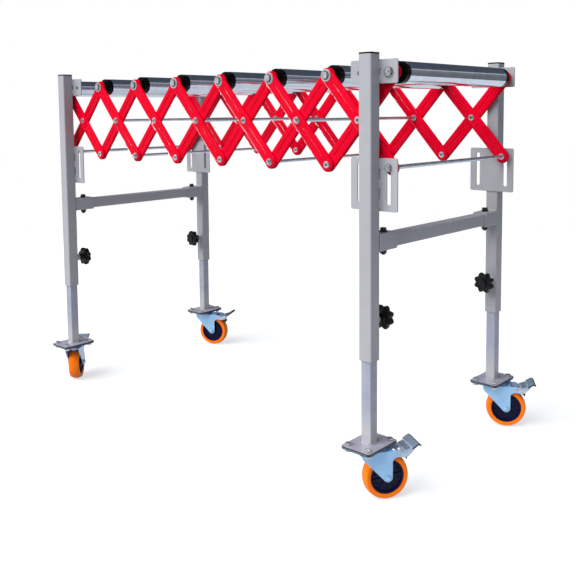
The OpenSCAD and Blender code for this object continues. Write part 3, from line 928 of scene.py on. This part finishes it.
def build_link(kind, k):
    global link_data
    node = "link_%s_%d" % (kind, k)
    body = "%s_%d" % (kind, k)
    y = A0 if kind == "down" else B0
    deg = math.degrees(TILT) * (1 if kind == "down" else -1)
    for side, sh in (("front", 0), ("back", SHIFT)):
        # local Z points into the table (+Y) for the front face at the viewer's side
        M = T(xm(k), y + sh, ZM) @ R(deg, "Y") @ R(-90, "X")
        name = "link_%s_%d_%s" % (kind, k, side)
        if link_data is None:
            ob = LINK.obj("link_shape", RED, body, (), None, angle=38, weld=0.002)
            link_data = ob.data
            ob.name = name
        else:
            ob = bpy.data.objects.new(name, link_data)
            bpy.context.scene.collection.objects.link(ob)
            face_weighted(ob)
        ob.parent = None
        M = M.copy()
        M.translation *= 0.001
        ob.matrix_world = M
        bpy.context.view_layer.update()
        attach(ob, body)
        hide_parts(node)


# ------------------------------------------------------------------ rollers
def build_roller(k):
    body, node = "roller_%d" % k, "roller_%d" % k
    L = ROLLER_L / 2
    M = T(xt(k), 0, ZT) @ TO_BACK
    rr = ROLLER_D / 2
    tube = [(rr - 1.6, -L + 1.0), (rr - 1.3, -L + 0.25), (rr - 0.9, -L), (rr - 0.45, -L + 0.12), (rr - 0.1, -L + 0.5), (rr, -L + 1.1),
            (rr, -L + 14), (rr, 0), (rr, L - 14),
            (rr, L - 1.1), (rr - 0.1, L - 0.5), (rr - 0.45, L - 0.12), (rr - 0.9, L), (rr - 1.3, L - 0.25), (rr - 1.6, L - 1.0)]
    g = Geo().add(lathe(tube, 96, closed=True), M)
    g.obj("roller_tube_%d" % k, ROLLER, body, node, "roller_steel")
    g = Geo()
    for sgn in (-1, 1):
        Q = T(xt(k), 0, ZT) @ (TO_FRONT if sgn < 0 else TO_BACK)
        pts = [(5.1, L - 17), (rr - 2.0, L - 17), (rr - 1.75, L - 16), (rr - 1.75, L + 0.1), (rr - 0.9, L + 0.15), (rr - 0.45, L + 0.45), (rr - 0.3, L + 1.0), (rr - 0.3, L + 14.2), (rr - 0.6, L + 15.2), (rr - 1.3, L + 15.85), (rr - 2.2, L + 16),
               (rr - 4.6, L + 16), (rr - 5.0, L + 16.4), (rr - 5.1, L + 18.3), (rr - 5.6, L + 19), (rr - 7.4, L + 19), (rr - 8.2, L + 18.6), (rr - 8.6, L + 17.2),
               (11.2, L + 16.8), (10.6, L + 17.2), (10.2, L + 18.6), (9.6, L + 19.1), (5.6, L + 19.1), (5.1, L + 18.6)]
        g.add(lathe(pts, 72, closed=True), Q)
    g.obj("roller_plugs_%d" % k, CAP, body, node, "roller_steel")


# ------------------------------------------------------------------ legs
YSWAP = Matrix(((1, 0, 0, 0), (0, 0, 1, 0), (0, 1, 0, 0), (0, 0, 0, 1)))


def dark_sides(g):
    """Cut edges of a plate take the second material."""
    for i, f in enumerate(g.f):
        p, q, r = (Vector(g.v[j]) for j in f[:3])
        n = (q - p).cross(r - p)
        if n.length > 0 and abs(n.z) < 0.6 * n.length:
            g.m[i] = 1


def build_leg(c):
    s, t, a = CORNERS[c]
    body = node = "leg_" + c
    M = T(s * POST_X, t * POST_Y, 0)
    g = Geo().add(tube_rr(25.4, 25.4, 2.6, 2.0, BASE_Z - 0.3, 565.5, 6, 0.4), M)
    g.obj("leg_tube_" + c, LEG, body, node, "leg_zinc", weld=0.002)
    # base plate, welded to the tube all round
    hole = [circle_pts(4.1, 20, x, y) for x in (-26, 26) for y in (-40, 40)]
    g = Geo().add(holed([rrect(75, 105, 5.0, 6)] + hole, BASE_Z - 4, BASE_Z, 0.6), M)
    dark_sides(g)
    h = 12.7
    for x, y, nx, ny in ((0, -h, 0, -1), (0, h, 0, 1), (-h, 0, -1, 0), (h, 0, 1, 0)):
        p = (x - ny * 11.5, y + nx * 11.5, BASE_Z)
        q = (x + ny * 11.5, y - nx * 11.5, BASE_Z)
        g.add(bead(p, q, 3.4, (nx, ny, 0), (0, 0, 1)), M)
    g.obj("base_plate_" + c, [PLATE, EDGE], body, node, "leg_zinc")
    # caster's own top plate, with the king pin and its hexagon head
    g = Geo().add(holed([rrect(75, 105, 8.0, 6)] + hole, BASE_Z - 7.05, BASE_Z - 4.05, 0.7), M)
    dark_sides(g)
    g.add(rod(6, 101, 119, 0.5, 28), M)
    g.add(hexpiece(16.5, 100, 107.6, dish=0.4), M @ R(20, "Z"))
    g.obj("caster_plate_" + c, [FORK, EDGE], body, node, "fork_zinc")
    g = Geo()
    n = 0
    for x in (-26, 26):
        for y in (-40, 40):
            n += 1
            Q = M @ T(x, y, 0)
            g.add(hexpiece(13.0, BASE_Z + 0.9, BASE_Z + 5.35, dish=0.5, low_cut=False), Q @ R(17 * n, "Z"))
            g.add(ring(4.0, 7.4, BASE_Z + 0.05, BASE_Z + 0.95, 0.2, 36), Q)
            g.add(hexpiece(13.0, BASE_Z - 13.5, BASE_Z - 7.1, bore=3.9), Q @ R(23 * n, "Z"))
            g.add(threaded(4.0, BASE_Z - 14.2, BASE_Z + 1, 1.25, 24, 0.8), Q)
    g.obj("caster_bolts_" + c, NUT, body, node, "zinc_fittings")


# ------------------------------------------------------------------ star knobs
def build_knob(c):
    s, t, a = CORNERS[c]
    body = node = "knob_" + c
    y = FACE - 26
    M = T(s * POST_X, t * y, KNOB_Z) @ (TO_BACK if t < 0 else TO_FRONT)   # local Z points to the middle of the table

    def star(r0, amp, n=128):
        pts = []
        for i in range(n):
            th = 2 * math.pi * i / n
            w = 0.5 + 0.5 * math.cos(8 * th)
            r = r0 + amp * w ** 0.75
            pts.append((r * math.cos(th), r * math.sin(th)))
        return pts

    verts, faces, rings = [], [], []
    # (base radius, lobe height, z): the outside from the neck side to the face, then the shallow dish and the centre cap
    lv = [(15.0, 0.6, 0.0), (18.4, 3.4, 0.15), (19.6, 5.0, 0.9), (20.4, 6.0, 2.2), (20.8, 6.6, 4.2), (20.8, 6.6, 9.0), (20.6, 6.4, 12.6), (20.0, 5.7, 15.2),
          (19.0, 4.6, 16.9), (17.6, 3.0, 17.7), (16.2, 1.2, 18.0), (14.8, 0.4, 17.8), (13.6, 0.0, 17.0), (12.6, 0.0, 16.3), (11.2, 0.0, 16.2),
          (10.9, 0.0, 17.0), (10.8, 0.0, 18.6), (10.3, 0.0, 19.4), (9.0, 0.0, 19.8), (5.5, 0.0, 20.0)]
    for r0, amp, z in lv:
        ids = []
        for x, yy in star(r0, amp):
            ids.append(len(verts))
            verts.append((x, yy, z))
        rings.append(ids)
    n = len(rings[0])
    for p, q in zip(rings, rings[1:]):
        for i in range(n):
            j = (i + 1) % n
            faces.append((p[i], p[j], q[j], q[i]))
    for ids, z in ((rings[0], 0.0), (rings[-1], 20.0)):
        cidx = len(verts)
        verts.append((0, 0, z))
        for i in range(n):
            j = (i + 1) % n
            faces.append((cidx, ids[j], ids[i]) if z == 0.0 else (cidx, ids[i], ids[j]))
    g = Geo().add((verts, faces), M @ R(22.5, "Z"))
    # neck
    g.add(lathe([(5.1, -13.7), (8.6, -13.7), (9.4, -13.0), (9.4, -4.0), (9.9, -1.5), (12.5, 0.6), (5.1, 0.6)], 48, closed=True), M)
    g.obj("knob_head_" + c, KNOB, body, node, "black_knob", angle=50)
    g = Geo().add(threaded(4.9, -29.0, -12.0, 1.25, 28, 1.0), M)
    g.obj("knob_screw_" + c, NUT, body, node, "zinc_fittings")


# ------------------------------------------------------------------ casters
def build_caster(c):
    s, t, a = CORNERS[c]
    M = T(s * POST_X, t * POST_Y, 0) @ R(a, "Z")
    # fork: two legs bent down from a crown, and the swivel race on top
    side = fillet([(-24, 111), (-24, 100), (27.5, 45.7), (36, 40.5), (45.5, 46.5), (46, 93), (66, 96.5), (70, 102), (69, 107), (64, 111)],
                  [1.2, 14, 6, 9, 7, 12, 4, 4, 3, 2], 6)
    hole = [circle_pts(5.1, 24, TRAIL, WZ), circle_pts(3.05, 16, 62, 104)]
    g = Geo()
    for y0 in (-22, 19.5):
        g.add(holed([side] + hole, y0, y0 + 2.5, 0.55), M @ YSWAP)
    prof = []
    for k in range(7):
        b = math.pi / 2 * k / 6
        prof.append((22 - 3.4 + 3.4 * math.cos(b), 111 - 3.4 + 3.4 * math.sin(b)))
    sect = prof + [(-y, z) for y, z in reversed(prof)] + [(-19.5, 107.6), (-18.6, 108.0), (18.6, 108.0), (19.5, 107.6)]
    crown_x = Matrix(((0, 0, 1, 0), (1, 0, 0, 0), (0, 1, 0, 0), (0, 0, 0, 1)))   # outline in YZ, drawn out along X
    g.add(prism(sect, -23.6, 47.6, 0.5, 3), M @ crown_x)
    # the race's two rings with the gap between them
    # the race rings take the darker teal: painted shade under the base plate
    g.add(lathe([(6.2, 110.8), (26.2, 110.8), (27.0, 111.4), (27.0, 113.2), (26.2, 113.9), (24.2, 114.1), (23.4, 114.5), (23.4, 115.1), (24.4, 115.5), (26.4, 115.7),
                 (27.0, 116.3), (26.6, 117.4), (24.0, 118.2), (19.0, 118.7), (6.2, 118.7)], 72, closed=True), M, 1)
    g.obj("fork_" + c + "_shell", [FORK, RACE_PAINTED_SHADE], "fork_" + c, "fork_" + c, "fork_zinc", angle=40)
    # wheel axle: domed head on one side, nut and thread on the other
    g = Geo()
    A = M @ T(TRAIL, 0, WZ)
    yz = A @ YSWAP
    g.add(rod(5, -24, 24, 0.4, 28), yz)
    g.add(lathe([(0, 27.9), (1.6, 27.8), (3.6, 27.3), (5.2, 26.4), (6.3, 25.1), (6.8, 23.6), (6.9, 22.7), (6.6, 22.1), (0, 22.1)], 40), A @ TO_FRONT, 1)
    g.add(hexpiece(14.6, 22.1, 26.6, bore=4.8), A @ TO_BACK @ R(9, "Z"))
    g.add(threaded(4.9, 20, 28.0, 1.25, 26, 1.0), A @ TO_BACK)
    for y0 in (-19.4, 17.4):
        g.add(ring(5.0, 8.0, y0, y0 + 2.0, 0.3, 32), yz)
    g.obj("fork_" + c + "_axle", [NUT, FORK], "fork_" + c, "fork_" + c, "zinc_fittings")
    # wheel centre: rim, dished web with ribs, boss
    g = Geo()
    half = [(5.1, 16.6), (5.5, 17.0), (10.6, 17.0), (11.4, 16.6), (12.0, 15.4), (12.6, 13.0), (13.6, 11.2), (15.4, 10.2), (30.4, 9.6), (32.0, 10.2), (33.0, 11.6),
            (33.6, 13.2), (34.3, 13.9), (37.6, 14.0), (38.2, 13.6), (38.4, 13.0)]
    pts = half + [(r, -z) for r, z in reversed(half)]
    g.add(lathe(pts, 96, closed=True), yz)
    for sg in (-1, 1):
        for i in range(8):
            ang = 45 * i + 10
            rib = fillet([(12.5, -1.4), (33.5, -1.1), (33.5, 1.1), (12.5, 1.4)], 0.5, 2)
            g.add(prism(rib, 9.4, 12.6, 0.6, 2), A @ (TO_FRONT if sg < 0 else TO_BACK) @ R(ang, "Z"))
            g.add(lathe([(0, 12.2), (1.1, 12.1), (2.0, 11.6), (2.4, 10.6), (2.6, 9.2), (0, 9.2)], 18), A @ (TO_FRONT if sg < 0 else TO_BACK) @ R(ang + 22.5, "Z") @ T(27, 0, 0))
    g.obj("hub_" + c + "_body", NAVY, "wheel_" + c, "hub_" + c, "hub_navy", angle=40)
    # tread: crowned, with a fine parting line and a lip over the hub's rim
    R0, W0 = WHEEL_D / 2, 16.0
    prof = [(38.45, 14.6), (39.2, 15.0), (41.6, 15.0), (42.8, 15.3)]
    for k in range(0, 9):
        y = W0 * (1 - 0.02) * math.cos(math.pi / 2 * k / 8.0 * 0.98)
        r = R0 - 32 + math.sqrt(32 * 32 - y * y)
        if r > 43.2:
            prof.append((r - (0.5 if k == 0 else 0.0), y))
    prof += [(R0 - 0.02, 0.5), (R0 - 0.28, 0.16)]
    full = prof + [(r, -y) for r, y in reversed(prof)]
    g = Geo().add(lathe(full, 128, closed=True), yz)
    g.obj("tyre_" + c + "_tread", ORANGE, "wheel_" + c, "tyre_" + c, "tyre_orange", angle=45)
    # brake lever: cross-ribbed tread plate, wider end pad, cheeks, pivot, strut and rubber pad
    g = Geo()
    g.add(ribbon([(71.2, 105.2), (76, 106.7), (80.0, 108.0), (84.0, 109.5), (88.0, 111.1), (91.5, 112.9)], -24.6, 24.6, 2.4, 0.9), M)
    for i in range(6):
        x0 = 74.4 + 2.5 * i
        z0 = 105.2 + 2.4 + (x0 - 71.2) * 0.348
        g.add(ribbon([(x0 - 0.55, z0 - 0.45), (x0 + 0.55, z0 - 0.05)], -20.5, 20.5, 1.25, 0.5), M, 0)
    g.add(ribbon([(73.2, 107.9), (80.0, 110.3), (87.6, 113.1)], -21.5, 21.5, 0.35, 0.3), M, 1)
    end = [(90.0, 112.0), (92.2, 113.2), (94.6, 114.6), (97.0, 116.2), (99.2, 117.7), (101.2, 119.0), (103.0, 119.7), (104.6, 119.5), (106.0, 118.6), (107.0, 117.4)]
    g.add(ribbon(end, -28.2, 28.2, 2.3, 0.7), M, 2)
    for y0 in (-29.1, 27.3):
        g.add(ribbon([(x, z - 0.25) for x, z in end], y0, y0 + 1.8, 3.1, 0.25), M, 1)
    g.add(ribbon([(104.2, 119.3), (105.8, 118.5), (107.2, 116.9)], -29.1, 29.1, 3.1, 0.4), M, 1)
    for i in range(11):
        y0 = -25.4 + 4.8 * i
        g.add(ribbon([(x + 0.1, z + 1.9) for x, z in end[2:8]], y0, y0 + 2.4, 0.95, 0.5), M, 2)
    cheek = fillet([(55.5, 107), (55.5, 100), (60, 96), (74, 94), (82, 97), (92, 106), (98, 116.2), (92, 112.8), (88, 111), (80, 108), (71, 105), (66, 108.6), (60, 110)],
                   [3, 3, 3, 5, 8, 8, 2, 3, 3, 3, 2, 3, 3], 4)
    for y0 in (-24.6, 22.4):
        g.add(holed([cheek, circle_pts(2.9, 16, 62, 104)], y0, y0 + 2.2, 0.45), M @ YSWAP)
    g.add(lathe([(0, 24.5), (2.0, 24.5), (2.9, 23.9), (2.9, -23.9), (2.0, -24.5), (0, -24.5)], 24), M @ T(62, 0, 104) @ YSWAP)
    g.add(prism(fillet([(74, 107), (74, 95), (81, 91), (84, 96), (83, 109.2)], 1.5, 3), -10, 10, 0.6, 2), M @ YSWAP)
    g.obj("brake_" + c + "_lever", [PEDAL, GRIP, TREADPAD], "brake_" + c, "brake_" + c, "brake_zinc", angle=40)
    # pad, hollowed to the tread
    g = Geo()
    press = math.radians(11)
    px = 62 + (TRAIL - 62) * math.cos(press) - (WZ - 104) * math.sin(press)
    pz = 104 + (TRAIL - 62) * math.sin(press) + (WZ - 104) * math.cos(press)
    pad = [(70.2, 95.8)]
    for k in range(9):
        x = 70.2 + (82.9 - 70.2) * k / 8
        pad.append((x, pz + math.sqrt((R0 + 0.35) ** 2 - (x - px) ** 2)))
    pad += [(83.9, 84.4), (84.8, 89.2), (81, 90.9), (74, 94.9)]
    g.add(prism(pad, -10, 10, 0.5, 2), M @ YSWAP)
    g.obj("brake_" + c + "_pad", PAD, "brake_" + c, "brake_" + c, "black_knob", angle=35)


# ------------------------------------------------------------------ everything
for s_, side_ in ((1, "right"), (-1, "left")):
    build_frame(s_, side_)
build_axle("axle_0", "frame_left", "fittings_left", xt(0), ZT, FO - 0.3, A0 + 2 + SHIFT + 0.3, A0 + 2.3, BI - 0.3, True)
for k_ in range(1, 8):
    build_pins(k_)
    build_link("down", k_)
    build_link("up", k_)
build_slot_rod("slot_rod_7", "down_7", "rod_end", xt(7), ZL, FO - 0.3, A0 + 2 + SHIFT + 0.3, A0 + 2.3, BI - 0.3)
for k_ in range(8):
    build_roller(k_)
for c_ in CORNERS:
    build_leg(c_)
    build_knob(c_)
    build_caster(c_)

# ------------------------------------------------------------------ camera
CAM = dict(x=1.5465, y=-1.6135, z=0.8367, yaw=0.7517, pitch=0.0852, roll=-0.0107, f=786.9, cx=273.4, cy=180.0)


def make_camera():
    yaw, pitch, roll = CAM["yaw"], CAM["pitch"], CAM["roll"]
    fw = Vector((-math.sin(yaw) * math.cos(pitch), math.cos(yaw) * math.cos(pitch), -math.sin(pitch)))
    right = Vector((math.cos(yaw), math.sin(yaw), 0))
    up = right.cross(fw)
    r = right * math.cos(roll) + up * math.sin(roll)
    u = up * math.cos(roll) - right * math.sin(roll)
    cam = bpy.data.cameras.new("camera")
    ob = bpy.data.objects.new("camera", cam)
    bpy.context.scene.collection.objects.link(ob)
    m = Matrix((r, u, -fw)).transposed().to_4x4()
    m.translation = (CAM["x"], CAM["y"], CAM["z"])
    ob.matrix_world = m
    cam.sensor_fit = "HORIZONTAL"
    cam.sensor_width = 36
    cam.lens = CAM["f"] * 36 / 576
    cam.shift_x = (288 - CAM["cx"]) / 576
    cam.shift_y = (CAM["cy"] - 288) / 576
    cam.clip_start = 0.05
    cam.clip_end = 60
    bpy.context.scene.camera = ob


make_camera()

# ------------------------------------------------------------------ studio
sc = bpy.context.scene
world = sc.world or bpy.data.worlds.new("world")
sc.world = world
world.use_nodes = True
wt = world.node_tree
wt.nodes.clear()
out = wt.nodes.new("ShaderNodeOutputWorld")
bg = wt.nodes.new("ShaderNodeBackground")
tc = wt.nodes.new("ShaderNodeTexCoord")
sep = wt.nodes.new("ShaderNodeSeparateXYZ")
wt.links.new(tc.outputs["Generated"], sep.inputs[0])


def math_node(op, a, b=None, c=None):
    n = wt.nodes.new("ShaderNodeMath")
    n.operation = op
    for k, v in enumerate((a, b, c)):
        if v is None:
            continue
        if isinstance(v, (int, float)):
            n.inputs[k].default_value = v
        else:
            wt.links.new(v, n.inputs[k])
    return n.outputs[0]


def world_ramp(fac, stops):
    r = wt.nodes.new("ShaderNodeValToRGB")
    e = r.color_ramp.elements
    while len(e) < len(stops):
        e.new(0.5)
    for q, (pos, v) in zip(e, stops):
        q.position = pos
        q.color = (v[0], v[1], v[2], 1)
    wt.links.new(fac, r.inputs["Fac"])
    return r.outputs["Color"]


def world_mix(fac, a, b):
    n = wt.nodes.new("ShaderNodeMix")
    n.data_type = "RGBA"
    for v, k in ((fac, 0), (a, 6), (b, 7)):
        if isinstance(v, (tuple, list)):
            n.inputs[k].default_value = (v[0], v[1], v[2], 1)
        elif isinstance(v, (int, float)):
            n.inputs[k].default_value = v
        else:
            wt.links.new(v, n.inputs[k])
    return n.outputs[2]


# the room that the metal mirrors: behind the table a grey right wall, a narrow window of light along Y, and a dark ceiling
around = math_node("MULTIPLY", math_node("ARCTAN2", sep.outputs["Z"], sep.outputs["X"]), 1 / math.pi)
back = world_ramp(around, [(0.0, (0.17, 0.17, 0.18)), (0.10, (0.21, 0.21, 0.22)), (0.185, (0.26, 0.26, 0.26)), (0.198, (0.85, 0.87, 0.90)), (0.209, (0.85, 0.87, 0.90)),
                           (0.222, (0.080, 0.090, 0.115)), (0.60, (0.068, 0.077, 0.098)), (0.93, (0.085, 0.095, 0.12)), (1.0, (0.22, 0.23, 0.25))])
# in front a light wall on the left, a greyer one on the right, dim above
side = math_node("MULTIPLY_ADD", sep.outputs["X"], 0.5, 0.5)
front = world_ramp(side, [(0.0, (0.72, 0.725, 0.74)), (0.25, (0.72, 0.725, 0.74)), (0.32, (0.17, 0.175, 0.19)), (1.0, (0.12, 0.125, 0.14))])
above = math_node("MULTIPLY_ADD", sep.outputs["Z"], 1.6, -0.45)
above = math_node("MINIMUM", math_node("MAXIMUM", above, 0.0), 1.0)
front = world_mix(above, front, (0.07, 0.075, 0.09))
high = world_ramp(sep.outputs["Z"], [(0.0, (0, 0, 0)), (0.30, (0, 0, 0)), (0.38, (1, 1, 1)), (0.62, (1, 1, 1)), (0.72, (0, 0, 0)), (1.0, (0, 0, 0))])
left = world_ramp(side, [(0.0, (1, 1, 1)), (0.45, (1, 1, 1)), (0.56, (0, 0, 0)), (1.0, (0, 0, 0))])
front = world_mix(math_node("MULTIPLY", high, left), front, (1.25, 1.27, 1.30))
half = math_node("MINIMUM", math_node("MAXIMUM", math_node("MULTIPLY_ADD", sep.outputs["Y"], 5.0, 0.5), 0.0), 1.0)
room = world_mix(half, front, back)
lp = wt.nodes.new("ShaderNodeLightPath")
shade = world_mix(lp.outputs["Is Glossy Ray"], (0.36, 0.395, 0.48), room)
seen = world_mix(lp.outputs["Is Camera Ray"], shade, (1.0, 1.0, 1.0))
wt.links.new(seen, bg.inputs["Color"])
bg.inputs["Strength"].default_value = 1.0
wt.links.new(bg.outputs[0], out.inputs["Surface"])


# key: a wide soft light from the front, a little to the left, 45 degrees up
KEY_EL, KEY_LEAN = math.radians(45), math.radians(12)
sun = bpy.data.lights.new("key", "SUN")
sun.energy = 5.0
sun.angle = math.radians(56)
key = bpy.data.objects.new("key", sun)
sc.collection.objects.link(key)
to_light = Vector((-math.sin(KEY_LEAN) * math.cos(KEY_EL), -math.cos(KEY_LEAN) * math.cos(KEY_EL), math.sin(KEY_EL)))
key.rotation_euler = (-to_light).to_track_quat("-Z", "Y").to_euler()
key.visible_glossy = False


def area(name, loc, target, size, radiance, color=(1, 1, 1)):
    li = bpy.data.lights.new(name, "AREA")
    li.shape = "RECTANGLE"
    li.size, li.size_y = size
    li.energy = radiance * math.pi * size[0] * size[1]
    li.color = color
    ob = bpy.data.objects.new(name, li)
    sc.collection.objects.link(ob)
    ob.location = loc
    ob.rotation_euler = (Vector(target) - Vector(loc)).to_track_quat("-Z", "Y").to_euler()
    ob.visible_camera = False
    return ob


# edge light: a low slanting panel at the left, seen only in glossy edges
edge = area("edge_left", (-1.90, -0.45, 0.28), (0.0, -0.45, 0.28), (0.80, 0.52), 150.0)
edge.visible_diffuse = False
edge_lit = bpy.data.collections.new("edge_lit")
for ob_ in list(sc.objects):
    if ob_.type == "MESH" and ob_.name.startswith("link_"):
        edge_lit.objects.link(ob_)
edge.light_linking.receiver_collection = edge_lit

# floor
floor_mat = bpy.data.materials.new("floor_white")
floor_mat.use_nodes = True
ft = floor_mat.node_tree
fb = ft.nodes["Principled BSDF"]
fb.inputs["Roughness"].default_value = 0.9
fb.inputs["Specular IOR Level"].default_value = 0.0
# a lit cyclorama: bright to look at and in reflections, but it throws less light back up on the table
fb.inputs["Emission Color"].default_value = (1.0, 1.0, 1.0, 1)
flp = ft.nodes.new("ShaderNodeLightPath")
fm = ft.nodes.new("ShaderNodeMath")
fm.operation = "MULTIPLY_ADD"
fg = ft.nodes.new("ShaderNodeMath")
fg.operation = "MULTIPLY"
ft.links.new(flp.outputs["Is Glossy Ray"], fg.inputs[0])
fg.inputs[1].default_value = 0.30
ft.links.new(flp.outputs["Is Camera Ray"], fm.inputs[0])
fm.inputs[1].default_value = 0.62
ft.links.new(fg.outputs[0], fm.inputs[2])
ft.links.new(fm.outputs[0], fb.inputs["Emission Strength"])
floor_mat.cycles.emission_sampling = "NONE"
ftc = ft.nodes.new("ShaderNodeTexCoord")
fn = ft.nodes.new("ShaderNodeTexNoise")
fn.inputs["Scale"].default_value = 3
ft.links.new(ftc.outputs["Object"], fn.inputs["Vector"])
fr = ft.nodes.new("ShaderNodeValToRGB")
fr.color_ramp.elements[0].color = (0.35, 0.35, 0.35, 1)
fr.color_ramp.elements[1].color = (0.36, 0.36, 0.36, 1)
ft.links.new(fn.outputs["Fac"], fr.inputs["Fac"])
ft.links.new(fr.outputs["Color"], fb.inputs["Base Color"])
gf = Geo()
gf.add(prism(circle_pts(3300, 180), -20, 0, 1.0, 1))
fme = bpy.data.meshes.new("floor")
fme.from_pydata([(x * 0.001, y * 0.001, z * 0.001) for x, y, z in gf.v], [], gf.f)
fme.materials.append(floor_mat)
floor = bpy.data.objects.new("floor", fme)
sc.collection.objects.link(floor)

sc.view_settings.view_transform = "Standard"
